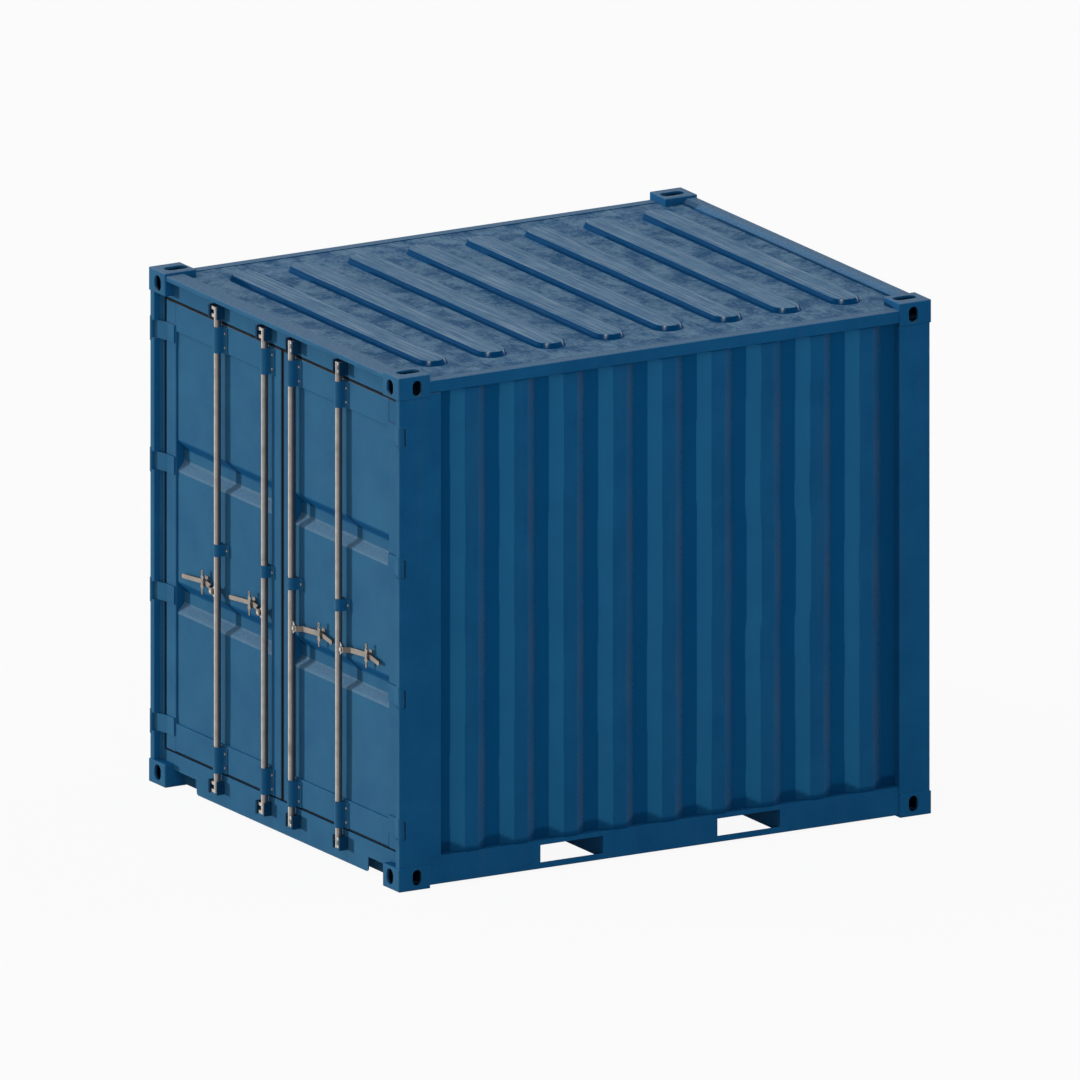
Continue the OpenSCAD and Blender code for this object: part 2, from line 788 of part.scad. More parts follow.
module door_gasket(side) {
    color(seal_black) on_side(side) difference() {
        block([gasket_clear / 2, door_y, sill_top + gasket_clear],
            [channel_x - gasket_clear, door_y + gasket_l, header_bottom - gasket_clear]);
        block([door_in, door_y - overrun, door_low],
            [door_out, door_y + gasket_l + overrun, door_high]);
    }
}

// Locking gear

// Hat-shaped guide round a bar, its two flanges seated at given faces
module guide(x, low, high, in_face, out_face) {
    color(blue) translate([x, 0, 0]) upright(low, high) difference() {
        union() {
            translate([0, bar_y]) circle(hat_r);
            translate([-hat_r, bar_y]) square([hat_r, in_face - bar_y]);
            translate([0, bar_y]) square([hat_r, out_face - bar_y]);
            translate([-hat_r - guide_flange, in_face - guide_t]) square([guide_flange + guide_t, guide_t]);
            translate([hat_r - guide_t, out_face - guide_t]) square([guide_flange + guide_t, guide_t]);
        }
        translate([0, bar_y]) circle(guide_r);
        translate([-guide_r, bar_y]) square([2 * guide_r, panel_y - bar_y + overrun]);
    }
}

module bar_guides(side) {
    on_side(side) for (x = bar_xs) {
        guide(x, door_low, door_low + end_guide_h, door_y, door_y);
        guide(x, door_high - guide_gap - end_guide_h, door_high - guide_gap, door_y, door_y);
        guide(x, mid_guide_z - mid_guide_h / 2, mid_guide_z + mid_guide_h / 2,
            x - hat_r - guide_flange < panel_in ? door_y : panel_y, panel_y);
    }
}

// Fork of two prongs that turns in behind a keeper's lip
module cam(x, low) {
    translate([x, bar_y, 0]) for (z = [low, low + cam_h - prong_h]) upright(z, z + prong_h)
        intersection() {
            circle(prong_r);
            translate([0, -prong_front]) square([prong_r, prong_front + prong_back]);
        }
}

// Bar with a cam at each end, and the lug and pin that carry the handle
module locking_bar(side, x) {
    color(zinc) on_side(side) {
        translate([x, bar_y, bar_low]) cylinder(r = bar_r, h = bar_top - bar_low);
        cam(x, bar_low);
        cam(x, bar_top - cam_h);
        translate([x, 0, handle_z]) {
            along_y(lug_front, lug_front + bar_lug_t) {
                translate([pivot_offset, 0]) circle(hub_r);
                polygon([
                    [0, -bar_lug_h / 2], [bar_lug_flat, -bar_lug_h / 2], [pivot_offset, -hub_r],
                    [pivot_offset, hub_r], [bar_lug_flat, bar_lug_h / 2], [0, bar_lug_h / 2]
                ]);
            }
            along_y(pin_head_back - pivot_head_h, lug_front) translate([pivot_offset, 0])
                circle(pivot_r);
            along_y(pin_head_back - pivot_head_h, pin_head_back) translate([pivot_offset, 0])
                circle(pivot_head_r);
        }
    }
}

// Flat handle, set back past its hub, that rises to its catch and falls to a rounded tip
module lift_handle(side, x, offset) {
    set_x = pivot_offset + hub_r + handle_t;
    plan = bent([
        [0, handle_front], [set_x, handle_front], [set_x + handle_set, grip_front], [handle_l, grip_front]
    ], handle_t);
    color(zinc) on_side(side) translate([x, 0, handle_z]) intersection() {
        along_y(handle_front, grip_front + handle_t) difference() {
            union() {
                translate([pivot_offset, 0]) circle(hub_r);
                strip([pivot_offset, 0], [offset, handle_arch], handle_h);
                strip([offset, handle_arch], [handle_l - tip_h / 2, 0], tip_h);
            }
            translate([pivot_offset, 0]) circle(pivot_r + pin_clear);
        }
        upright(-handle_h, handle_arch + handle_h) polygon(sheet_outline(plan, [0, handle_t]));
    }
}

// Cradle under a handle, with crossed arms before it that carry an eye and a tail
module handle_catches(side, offset) {
    steep = atan(handle_arch / min(offset - pivot_offset, handle_l - tip_h / 2 - offset));
    cradle = arch_z - handle_h / 2 / cos(steep) - catch_w / 2 * tan(steep) - catch_clear;
    arm_x = (catch_w - catch_arm) / 2;
    color(zinc) on_side(side) for (x = bar_xs) translate([x + offset, 0, 0]) {
        block([-catch_w / 2, catch_front, cradle - catch_t], [catch_w / 2, panel_y, cradle]);
        block([-catch_w / 2, panel_y - catch_t, cradle - catch_t],
            [catch_w / 2, panel_y, arch_z + handle_h]);
        translate([0, 0, arch_z]) along_y(catch_front, catch_front + catch_t) difference() {
            union() {
                for (s = [-1, 1]) strip([-arm_x * s, -handle_h], [arm_x * s, handle_h], catch_arm);
                strip([0, -catch_tail], [0, catch_rise], catch_arm);
                translate([0, catch_rise]) circle(eye_rim);
            }
            translate([0, catch_rise]) circle(eye_r);
        }
    }
}

// Two cheeks beside a cam, the outer one with a lip before the prong tips
module keepers(face_y, low, high) {
    lip_x = prong_r - keeper_lip;
    lip_y = bar_y - keeper_lip_back;
    color(deep_blue) for (s = [-1, 1]) on_side(s) for (x = bar_xs) translate([x, 0, 0])
        upright(low, high) {
            translate([cheek_x, lip_y - keeper_lip_t])
                square([keeper_t, face_y - lip_y + keeper_lip_t]);
            translate([lip_x, lip_y - keeper_lip_t]) square([cheek_x + keeper_t - lip_x, keeper_lip_t]);
            translate([-hat_r - keeper_t, lip_y]) square([keeper_t, face_y - lip_y]);
        }
}

module header_cam_keepers() {
    keepers(door_y, bar_top - cam_h - keeper_margin, bar_top + keeper_margin);
}

module sill_cam_keepers() {
    keepers(door_y, bar_low - keeper_margin, bar_low + cam_h + keeper_margin);
}

top_corner_castings();
bottom_corner_castings();
door_post(-1);  // left_door_post
door_post(1);  // right_door_post
rear_post(-1);  // left_rear_post
rear_post(1);  // right_rear_post
door_header();
door_sill();
rear_top_rail();
rear_bottom_rail();
top_rail(-1);  // left_top_rail
top_rail(1);  // right_top_rail
bottom_rail(-1);  // left_bottom_rail
bottom_rail(1);  // right_bottom_rail
fork_pockets();
cross_members();
floor_boards();
roof_panel();
side_wall(-1);  // left_side_wall
side_wall(1);  // right_side_wall
rear_wall();
hinge_pins(-1);  // left_hinge_pins
hinge_pins(1);  // right_hinge_pins
header_cam_keepers();
sill_cam_keepers();
door_frame(-1);  // left_door_frame
door_panel(-1);  // left_door_panel
door_gasket(-1);  // left_door_gasket
door_hinges(-1);  // left_door_hinges
bar_guides(-1);  // left_bar_guides
handle_catches(-1, left_catch_offset);  // left_handle_catches
door_frame(1);  // right_door_frame
door_panel(1);  // right_door_panel
door_gasket(1);  // right_door_gasket
door_hinges(1);  // right_door_hinges
bar_guides(1);  // right_bar_guides
handle_catches(1, right_catch_offset);  // right_handle_catches
locking_bar(-1, outer_bar_x);  // left_outer_bar
locking_bar(-1, inner_bar_x);  // left_inner_bar
locking_bar(1, inner_bar_x);  // right_inner_bar
locking_bar(1, outer_bar_x);  // right_outer_bar
lift_handle(-1, outer_bar_x, left_catch_offset);  // left_outer_handle
lift_handle(-1, inner_bar_x, left_catch_offset);  // left_inner_handle
lift_handle(1, inner_bar_x, right_catch_offset);  // right_inner_handle
lift_handle(1, outer_bar_x, right_catch_offset);  // right_outer_handle
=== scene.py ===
import json
import math

import bpy
import numpy as np
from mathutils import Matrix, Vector


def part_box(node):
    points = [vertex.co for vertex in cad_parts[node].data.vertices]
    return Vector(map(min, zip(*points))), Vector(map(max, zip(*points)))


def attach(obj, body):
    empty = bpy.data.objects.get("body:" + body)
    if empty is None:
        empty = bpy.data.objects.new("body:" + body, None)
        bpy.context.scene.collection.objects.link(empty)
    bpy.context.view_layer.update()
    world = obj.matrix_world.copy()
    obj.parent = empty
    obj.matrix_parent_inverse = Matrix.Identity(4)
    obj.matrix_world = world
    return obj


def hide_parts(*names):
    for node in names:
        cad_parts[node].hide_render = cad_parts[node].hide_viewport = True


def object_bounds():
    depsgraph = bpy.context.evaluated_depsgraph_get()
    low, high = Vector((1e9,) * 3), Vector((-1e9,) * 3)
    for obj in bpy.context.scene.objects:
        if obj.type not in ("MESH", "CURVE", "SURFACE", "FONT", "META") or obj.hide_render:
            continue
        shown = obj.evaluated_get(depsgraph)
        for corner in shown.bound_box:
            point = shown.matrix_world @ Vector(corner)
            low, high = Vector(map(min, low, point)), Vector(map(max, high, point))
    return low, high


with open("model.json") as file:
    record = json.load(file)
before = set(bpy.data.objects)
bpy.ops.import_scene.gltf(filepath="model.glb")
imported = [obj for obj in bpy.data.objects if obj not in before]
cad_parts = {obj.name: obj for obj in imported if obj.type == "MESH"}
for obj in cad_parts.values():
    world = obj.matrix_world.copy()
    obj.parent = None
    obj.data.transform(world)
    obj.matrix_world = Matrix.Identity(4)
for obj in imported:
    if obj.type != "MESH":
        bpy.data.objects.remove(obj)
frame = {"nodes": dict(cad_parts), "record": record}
nodes = frame["nodes"]
cadBox = [list(corner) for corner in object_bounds()]
mm = 0.001
noiseLow, noiseHigh = 0.3, 0.7  # most of a noise texture lies between these
upAxis = np.array((0.0, 0.0, 1.0))
boxCentre = tuple((low + high) / 2 for low, high in zip(*cadBox))
castingHalf = (81 * mm, 89 * mm, 59 * mm)
castingCentre = tuple((high - low) / 2 - half for low, high, half in zip(*cadBox, castingHalf))
print("frame loaded,", len(nodes), "CAD nodes")


def linearColour(hexText):  # sRGB hex to linear: ((c + 0.055) / 1.055) ** 2.4 above the toe, c / 12.92 below it
    c = np.array([int(hexText[i:i + 2], 16) for i in (1, 3, 5)]) / 255
    return (*np.where(c > 0.04045, ((c + 0.055) / 1.055) ** 2.4, c / 12.92).tolist(), 1.0)


def perMetre(sizeMm):  # texture scale that gives features of this size
    return 1000 / sizeMm


def addNode(tree, kind, settings, links):  # a name sets a property or a socket, a number sets a socket
    node = tree.nodes.new(kind)
    for key, value in settings.items():
        if isinstance(key, str) and hasattr(node, key):
            setattr(node, key, value)
        else:
            node.inputs[key].default_value = value
    for socket, source in links.items():
        tree.links.new(source, node.inputs[socket])
    return node


def newMaterial(name, settings):  # Principled shader with the constant numbers on its own sockets
    material = bpy.data.materials.new(name)
    material.use_nodes = True
    tree = material.node_tree
    shader = tree.nodes["Principled BSDF"]
    for socket, value in settings.items():
        shader.inputs[socket].default_value = value
    place = addNode(tree, "ShaderNodeTexCoord", {}, {}).outputs["Object"]
    return material, tree, shader, place


def finishShader(tree, shader, settings, colour, wear, relief=None):
    # the colour, a roughness that follows the wear, and a fine relief where there is one
    least, most = settings["roughness"]
    rough = addNode(tree, "ShaderNodeMapRange", {1: noiseLow, 2: noiseHigh, 3: least, 4: most}, {0: wear})
    tree.links.new(colour, shader.inputs["Base Color"])
    tree.links.new(rough.outputs[0], shader.inputs["Roughness"])
    if relief:
        bump = addNode(tree, "ShaderNodeBump", {"Strength": settings["relief"], "Distance": settings["reliefDepth"]},
                       {"Height": relief})
        tree.links.new(bump.outputs[0], shader.inputs["Normal"])


def gridFaces(rows, cols, wrap=False):  # quads of a grid of points, its last column joined to the first if it wraps
    index = np.arange(rows * cols).reshape(rows, cols)
    if wrap:
        index = np.hstack([index, index[:, :1]])
    return np.stack([index[:-1, :-1], index[:-1, 1:], index[1:, 1:], index[1:, :-1]], axis=-1).reshape(-1, 4)


def meshPiece(name, body, points, faces, material, creaseDegrees=35):
    mesh = bpy.data.meshes.new(name)
    mesh.from_pydata(np.asarray(points).reshape(-1, 3).tolist(), [], faces)
    mesh.polygons.foreach_set("use_smooth", np.ones(len(mesh.polygons), bool))
    mesh.set_sharp_from_angle(angle=math.radians(creaseDegrees))
    edgeOfCorner = np.zeros(len(mesh.loops), np.int32)
    mesh.loops.foreach_get("edge_index", edgeOfCorner)
    rim = np.bincount(edgeOfCorner, minlength=len(mesh.edges)) == 1  # a sheet's open edges stay crisp
    sharp = np.zeros(len(mesh.edges), bool)
    mesh.edges.foreach_get("use_edge_sharp", sharp)
    mesh.edges.foreach_set("use_edge_sharp", sharp | rim)
    mesh.materials.append(material)
    piece = bpy.data.objects.new(name, mesh)
    bpy.context.scene.collection.objects.link(piece)
    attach(piece, body)
    return piece


def pointValues(piece, name, values):  # one number for each point, read by the materials
    attribute = piece.data.attributes.new(name, "FLOAT", "POINT")
    attribute.data.foreach_set("value", np.asarray(values, np.float32).ravel())


def thicken(piece, thickness):  # gives a sheet its thickness, behind its face
    sheet = piece.modifiers.new("thickness", "SOLIDIFY")
    sheet.thickness = thickness
    sheet.offset = -1


def rampArea(t):  # area under a ramp that climbs from 0 at t = 0 to 1 at t = 1
    return np.clip(t, 0, 1) ** 2 / 2 + np.maximum(t - 1, 0)


def foldedRamp(t, fold):  # the ramp averaged over a window of +-fold, so that its two corners become bends
    return (rampArea(t + fold) - rampArea(t - fold)) / (2 * fold)


def tubeAlong(path, radius, sides=8):
    # circle carried along a path: point + radius * (cos(a) * side + sin(a) * lift), side = tangent x up
    tangent = np.gradient(path, axis=0)
    tangent /= np.linalg.norm(tangent, axis=1, keepdims=True)
    side = np.cross(tangent, upAxis)
    side /= np.linalg.norm(side, axis=1, keepdims=True)
    lift = np.cross(side, tangent)
    angle = np.linspace(0, 2 * np.pi, sides, endpoint=False)[None, :, None]
    points = path[:, None] + radius * (np.cos(angle) * side[:, None] + np.sin(angle) * lift[:, None])
    last = (len(path) - 1) * sides
    caps = [list(range(sides)), list(range(last + sides - 1, last - 1, -1))]
    return points.reshape(-1, 3), gridFaces(len(path), sides, wrap=True)[:, ::-1].tolist() + caps


def joined(parts):  # several (points, faces) shapes as one
    starts = np.cumsum([0] + [len(points) for points, faces in parts])
    faces = [[corner + int(start) for corner in face]
             for start, (points, made) in zip(starts, parts) for face in made]
    return np.vstack([points for points, faces in parts]), faces


# Materials

paint = {
    "light": "#155079", "deep": "#0e456f", "chalk": "#769a80", "dust": "#84959f", "film": "#03426d",
    "bleachAndLight": "#2c789f", "grimeAndShade": "#022e52", "soilAndWarmLight": "#4a4541", "hollow": "#050f1a",
    "mottleMm": 240, "speckleMm": 7, "streakMm": (26, 26, 900), "peelMm": 9, "raggedMm": 11,
    "speckleShare": 0.45, "blotchFrom": 0.45, "blotchTo": 1.0, "runFrom": 0.55, "runTo": 0.8, "runShare": 0.08,
    "chalkSheenShare": 0.085, "chalkSheenBefore": -1.3, "chalkSheenFrom": -0.2, "chalkSheenTo": -0.9, "patchy": (0.85, 1.15),
    "dustShare": 0.3, "dustFrom": 0.45, "dustTo": 0.85, "dustAbove": 1.9, "sweptFrom": 0.4, "sweptTo": 0.6,
    "swept": (0.75, 1.25), "shadeFilmShare": 0.75, "shadeFilmRagged": 1.8, "filmFrom": 1.55, "filmTo": 1.67, "hollowShadeMm": 0,
    "roughness": (0.44, 0.58), "relief": 0.12, "reliefDepth": 0.6 * mm,
}


def alkydPaint(name, settings):
    # sprayed alkyd enamel on weathering steel: deep, faintly uneven blue gone matt, chalky on the door end with a
    # painted sheen, run with thin dirt, dusty where it faces up, with painted shade as a dark film in the valleys of
    # the sheets
    material, tree, shader, place = newMaterial(name, {"Specular IOR Level": 0.01, "Metallic": 0.0})
    mottle = addNode(tree, "ShaderNodeTexNoise",
                     {"Scale": perMetre(settings["mottleMm"]), "Detail": 5.0, "Roughness": 0.6}, {"Vector": place})
    speckle = addNode(tree, "ShaderNodeTexNoise",
                      {"Scale": perMetre(settings["speckleMm"]), "Detail": 2.0}, {"Vector": place})
    blotch = addNode(tree, "ShaderNodeMath", {"operation": "MULTIPLY_ADD", 1: settings["speckleShare"]},
                     {0: speckle.outputs[0], 2: mottle.outputs[0]})
    spread = addNode(tree, "ShaderNodeMapRange", {1: settings["blotchFrom"], 2: settings["blotchTo"]},
                     {0: blotch.outputs[0]})
    colour = addNode(tree, "ShaderNodeMix",
                     {"data_type": "RGBA", 6: linearColour(settings["deep"]), 7: linearColour(settings["light"])},
                     {0: spread.outputs[0]})
    runScale = addNode(tree, "ShaderNodeMapping", {"Scale": tuple(perMetre(s) for s in settings["streakMm"])},
                       {"Vector": place})
    runs = addNode(tree, "ShaderNodeTexNoise", {"Scale": 1.0, "Detail": 3.0}, {"Vector": runScale.outputs[0]})
    runAmount = addNode(tree, "ShaderNodeMapRange",
                        {1: settings["runFrom"], 2: settings["runTo"], 3: 0.0, 4: settings["runShare"]},
                        {0: runs.outputs[0]})
    run = addNode(tree, "ShaderNodeMix", {"data_type": "RGBA", 7: linearColour(settings["soilAndWarmLight"])},
                  {0: runAmount.outputs[0], 6: colour.outputs[2]})
    normal = addNode(tree, "ShaderNodeTexCoord", {}, {}).outputs["Normal"]
    facing = addNode(tree, "ShaderNodeSeparateXYZ", {}, {0: normal})
    least, most = settings["patchy"]
    patchy = addNode(tree, "ShaderNodeMapRange", {1: noiseLow, 2: noiseHigh, 3: least, 4: most},
                     {0: mottle.outputs[0]})
    spot = addNode(tree, "ShaderNodeSeparateXYZ", {}, {0: place})
    # chalky film on the door end's faces that look to -Y, partly a painted sheen of the key light
    doorFace = addNode(tree, "ShaderNodeMapRange",
                       {1: settings["chalkSheenFrom"], 2: settings["chalkSheenTo"], 3: 0.0, 4: settings["chalkSheenShare"]},
                       {0: facing.outputs[1]})
    doorEnd = addNode(tree, "ShaderNodeMath", {"operation": "LESS_THAN", 1: settings["chalkSheenBefore"]},
                      {0: spot.outputs[1]})
    chalkSheenArea = addNode(tree, "ShaderNodeMath", {"operation": "MULTIPLY"},
                        {0: doorFace.outputs[0], 1: doorEnd.outputs[0]})
    chalkSheenAmount = addNode(tree, "ShaderNodeMath", {"operation": "MULTIPLY"},
                          {0: chalkSheenArea.outputs[0], 1: patchy.outputs[0]})
    chalkSheened = addNode(tree, "ShaderNodeMix", {"data_type": "RGBA", 7: linearColour(settings["chalk"])},
                     {0: chalkSheenAmount.outputs[0], 6: run.outputs[2]})
    # paler paint on the wall slopes that face the door end: some sun bleach and some painted light, lifting them as
    # the front lamp would
    bleachAndLight = addNode(tree, "ShaderNodeAttribute", {"attribute_name": "bleachAndLight"}, {})
    bleachedAndLit = addNode(tree, "ShaderNodeMix", {"data_type": "RGBA", 7: linearColour(settings["bleachAndLight"])},
                       {0: bleachAndLight.outputs["Fac"], 6: chalkSheened.outputs[2]})
    level = addNode(tree, "ShaderNodeMapRange",
                    {1: settings["dustFrom"], 2: settings["dustTo"], 3: 0.0, 4: settings["dustShare"]},
                    {0: facing.outputs[2]})
    above = addNode(tree, "ShaderNodeMath", {"operation": "GREATER_THAN", 1: settings["dustAbove"]},
                    {0: spot.outputs[2]})
    ragged = addNode(tree, "ShaderNodeTexNoise",
                     {"Scale": perMetre(settings["raggedMm"]), "Detail": 5.0, "Roughness": 0.65}, {"Vector": place})
    thin, thick = settings["swept"]
    swept = addNode(tree, "ShaderNodeMapRange",
                    {1: settings["sweptFrom"], 2: settings["sweptTo"], 3: thin, 4: thick}, {0: ragged.outputs[0]})
    settled = addNode(tree, "ShaderNodeAttribute", {"attribute_name": "settled"}, {})
    lying = addNode(tree, "ShaderNodeMath", {"operation": "MULTIPLY_ADD"},
                    {0: level.outputs[0], 1: above.outputs[0], 2: settled.outputs["Fac"]})
    dustAmount = addNode(tree, "ShaderNodeMath", {"operation": "MULTIPLY", "use_clamp": True},
                         {0: lying.outputs[0], 1: swept.outputs[0]})
    dusty = addNode(tree, "ShaderNodeMix", {"data_type": "RGBA", 7: linearColour(settings["dust"])},
                    {0: dustAmount.outputs[0], 6: bleachedAndLit.outputs[2]})
    # brown tint on the wall slopes that face away from the door end: some soil, and painted warm light from behind
    soilAndWarmLight = addNode(tree, "ShaderNodeAttribute", {"attribute_name": "soilAndWarmLight"}, {})
    soiledAndWarmLit = addNode(tree, "ShaderNodeMix", {"data_type": "RGBA", 7: linearColour(settings["soilAndWarmLight"])},
                     {0: soilAndWarmLight.outputs["Fac"], 6: dusty.outputs[2]})
    # painted shade: a dark film with a ragged edge in the valleys of the walls and on the downward upper slopes of
    # the door grooves
    valley = addNode(tree, "ShaderNodeAttribute", {"attribute_name": "valley"}, {})
    valleyEdge = addNode(tree, "ShaderNodeMath", {"operation": "MULTIPLY_ADD", 1: settings["shadeFilmRagged"]},
                         {0: ragged.outputs[0], 2: valley.outputs["Fac"]})
    shadeFilmAmount = addNode(tree, "ShaderNodeMapRange",
                         {1: settings["filmFrom"], 2: settings["filmTo"], 3: 0.0, 4: settings["shadeFilmShare"]},
                         {0: valleyEdge.outputs[0]})
    shadeFilmed = addNode(tree, "ShaderNodeMix", {"data_type": "RGBA", 7: linearColour(settings["film"])},
                     {0: shadeFilmAmount.outputs[0], 6: soiledAndWarmLit.outputs[2]})
    # painted shade, with some grime, where the walls set it
    grimeAndShade = addNode(tree, "ShaderNodeAttribute", {"attribute_name": "grimeAndShade"}, {})
    grimedAndShaded = addNode(tree, "ShaderNodeMix", {"data_type": "RGBA", 7: linearColour(settings["grimeAndShade"])},
                    {0: grimeAndShade.outputs["Fac"], 6: shadeFilmed.outputs[2]})
    if settings["hollowShadeMm"]:  # painted shade: deeper under a casting's faces than its wall, the hollow is darkened as if in shadow
        centred = addNode(tree, "ShaderNodeVectorMath", {"operation": "SUBTRACT", 1: boxCentre}, {0: place})
        folded = addNode(tree, "ShaderNodeVectorMath", {"operation": "ABSOLUTE"}, {0: centred.outputs[0]})
        offset = addNode(tree, "ShaderNodeVectorMath", {"operation": "SUBTRACT", 1: castingCentre},
                         {0: folded.outputs[0]})
        unsigned = addNode(tree, "ShaderNodeVectorMath", {"operation": "ABSOLUTE"}, {0: offset.outputs[0]})
        inset = addNode(tree, "ShaderNodeVectorMath", {"operation": "SUBTRACT", 0: castingHalf},
                        {1: unsigned.outputs[0]})
        depth = addNode(tree, "ShaderNodeSeparateXYZ", {}, {0: inset.outputs[0]})
        least = addNode(tree, "ShaderNodeMath", {"operation": "MINIMUM"}, {0: depth.outputs[0], 1: depth.outputs[1]})
        deep = addNode(tree, "ShaderNodeMath", {"operation": "MINIMUM"}, {0: least.outputs[0], 1: depth.outputs[2]})
        hollow = addNode(tree, "ShaderNodeMapRange", {1: settings["hollowShadeMm"] * mm, 2: 2 * settings["hollowShadeMm"] * mm},
                         {0: deep.outputs[0]})
        grimedAndShaded = addNode(tree, "ShaderNodeMix", {"data_type": "RGBA", 7: linearColour(settings["hollow"])},
                        {0: hollow.outputs[0], 6: grimedAndShaded.outputs[2]})
    peel = addNode(tree, "ShaderNodeTexNoise", {"Scale": perMetre(settings["peelMm"]), "Detail": 2.0},
                   {"Vector": place})
    finishShader(tree, shader, settings, grimedAndShaded.outputs[2], mottle.outputs[0], peel.outputs[0])
    return material


roofDust = {
    "side": "#01365d", "bare": "#023d67", "film": "#6e8ba0", "pale": "#95a6b3", "glintMark": "#c9d3da",
    "patchMm": 150, "fleckMm": 16, "rakeMm": (420, 14, 60), "fleckShare": 0.3,
    "filmFrom": 0.56, "filmTo": 0.74, "filmLeast": 0.1, "share": 0.66, "ribFilm": 0.45, "ribEven": 0.65,
    "flatFrom": 0.82, "flatTo": 0.98, "rakeFrom": 0.45, "rakeTo": 0.75, "rakeShare": 0.5, "rakeOffRib": 0.25,
    "roughness": (0.42, 0.7), "relief": 0.2, "reliefDepth": 1.0 * mm,
}


def roofPaint(name, settings):
    # the same enamel under a film of dried dust: mottled patches, rake marks along the ribs, painted highlights at
    # their ends and painted shade on their sides
    material, tree, shader, place = newMaterial(name, {"Specular IOR Level": 0.01, "Metallic": 0.0})
    patch = addNode(tree, "ShaderNodeTexNoise",
                    {"Scale": perMetre(settings["patchMm"]), "Detail": 9.0, "Roughness": 0.74}, {"Vector": place})
    fleck = addNode(tree, "ShaderNodeTexNoise", {"Scale": perMetre(settings["fleckMm"]), "Detail": 3.0},
                    {"Vector": place})
    rakeScale = addNode(tree, "ShaderNodeMapping", {"Scale": tuple(perMetre(s) for s in settings["rakeMm"])},
                        {"Vector": place})
    rake = addNode(tree, "ShaderNodeTexNoise", {"Scale": 1.0, "Detail": 4.0}, {"Vector": rakeScale.outputs[0]})
    cloud = addNode(tree, "ShaderNodeMath", {"operation": "MULTIPLY_ADD", 1: settings["fleckShare"]},
                    {0: fleck.outputs[0], 2: patch.outputs[0]})
    film = addNode(tree, "ShaderNodeMapRange",
                   {1: settings["filmFrom"], 2: settings["filmTo"], 3: settings["filmLeast"], 4: settings["share"]},
                   {0: cloud.outputs[0]})
    normal = addNode(tree, "ShaderNodeTexCoord", {}, {}).outputs["Normal"]
    facing = addNode(tree, "ShaderNodeSeparateXYZ", {}, {0: normal})
    level = addNode(tree, "ShaderNodeMapRange", {1: settings["flatFrom"], 2: settings["flatTo"]},
                    {0: facing.outputs[2]})
    rib = addNode(tree, "ShaderNodeAttribute", {"attribute_name": "rib"}, {})
    ribShare = addNode(tree, "ShaderNodeMath", {"operation": "MULTIPLY", 1: settings["ribEven"]},
                       {0: rib.outputs["Fac"]})
    evened = addNode(tree, "ShaderNodeMix", {"data_type": "FLOAT", 3: settings["ribFilm"]},
                     {0: ribShare.outputs[0], 2: film.outputs[0]})
    lying = addNode(tree, "ShaderNodeMath", {"operation": "MULTIPLY"}, {0: evened.outputs[0], 1: level.outputs[0]})
    # painted shade: steep faces such as the rib sides take the darker side colour
    bareWithShadedSides = addNode(tree, "ShaderNodeMix",
                    {"data_type": "RGBA", 6: linearColour(settings["side"]), 7: linearColour(settings["bare"])},
                    {0: level.outputs[0]})
    dusty = addNode(tree, "ShaderNodeMix", {"data_type": "RGBA", 7: linearColour(settings["film"])},
                    {0: lying.outputs[0], 6: bareWithShadedSides.outputs[2]})
    scratch = addNode(tree, "ShaderNodeMapRange",
                      {1: settings["rakeFrom"], 2: settings["rakeTo"], 3: 0.0, 4: settings["rakeShare"]},
                      {0: rake.outputs[0]})
    ribbed = addNode(tree, "ShaderNodeMath",
                     {"operation": "MULTIPLY_ADD", 1: 1 - settings["rakeOffRib"], 2: settings["rakeOffRib"]},
                     {0: rib.outputs["Fac"]})
    worn = addNode(tree, "ShaderNodeMath", {"operation": "MULTIPLY"}, {0: scratch.outputs[0], 1: ribbed.outputs[0]})
    raked = addNode(tree, "ShaderNodeMath", {"operation": "MULTIPLY"}, {0: worn.outputs[0], 1: level.outputs[0]})
    marked = addNode(tree, "ShaderNodeMix", {"data_type": "RGBA", 7: linearColour(settings["pale"])},
                     {0: raked.outputs[0], 6: dusty.outputs[2]})
    # painted highlight: pale glints at the turn of each rib end
    glintMark = addNode(tree, "ShaderNodeAttribute", {"attribute_name": "glintMark"}, {})
    glinted = addNode(tree, "ShaderNodeMix", {"data_type": "RGBA", 7: linearColour(settings["glintMark"])},
                      {0: glintMark.outputs["Fac"], 6: marked.outputs[2]})
    finishShader(tree, shader, settings, glinted.outputs[2], patch.outputs[0], fleck.outputs[0])
    return material


zinc = {
    "light": "#958f89", "dull": "#817b75", "stain": "#584b41", "shadeSide": "#10263b",
    "bloomMm": 45, "grainMm": 6, "stainMm": 130, "grainShare": 0.5, "cloudFrom": 0.55, "cloudTo": 0.95,
    "stainFrom": 0.58, "stainTo": 0.74, "stainShare": 0.5, "shadeSideFrom": -0.62, "shadeSideTo": -0.45, "shadeSideShare": 0.85,
    "roughness": (0.45, 0.62), "relief": 0.15, "reliefDepth": 0.4 * mm,
}


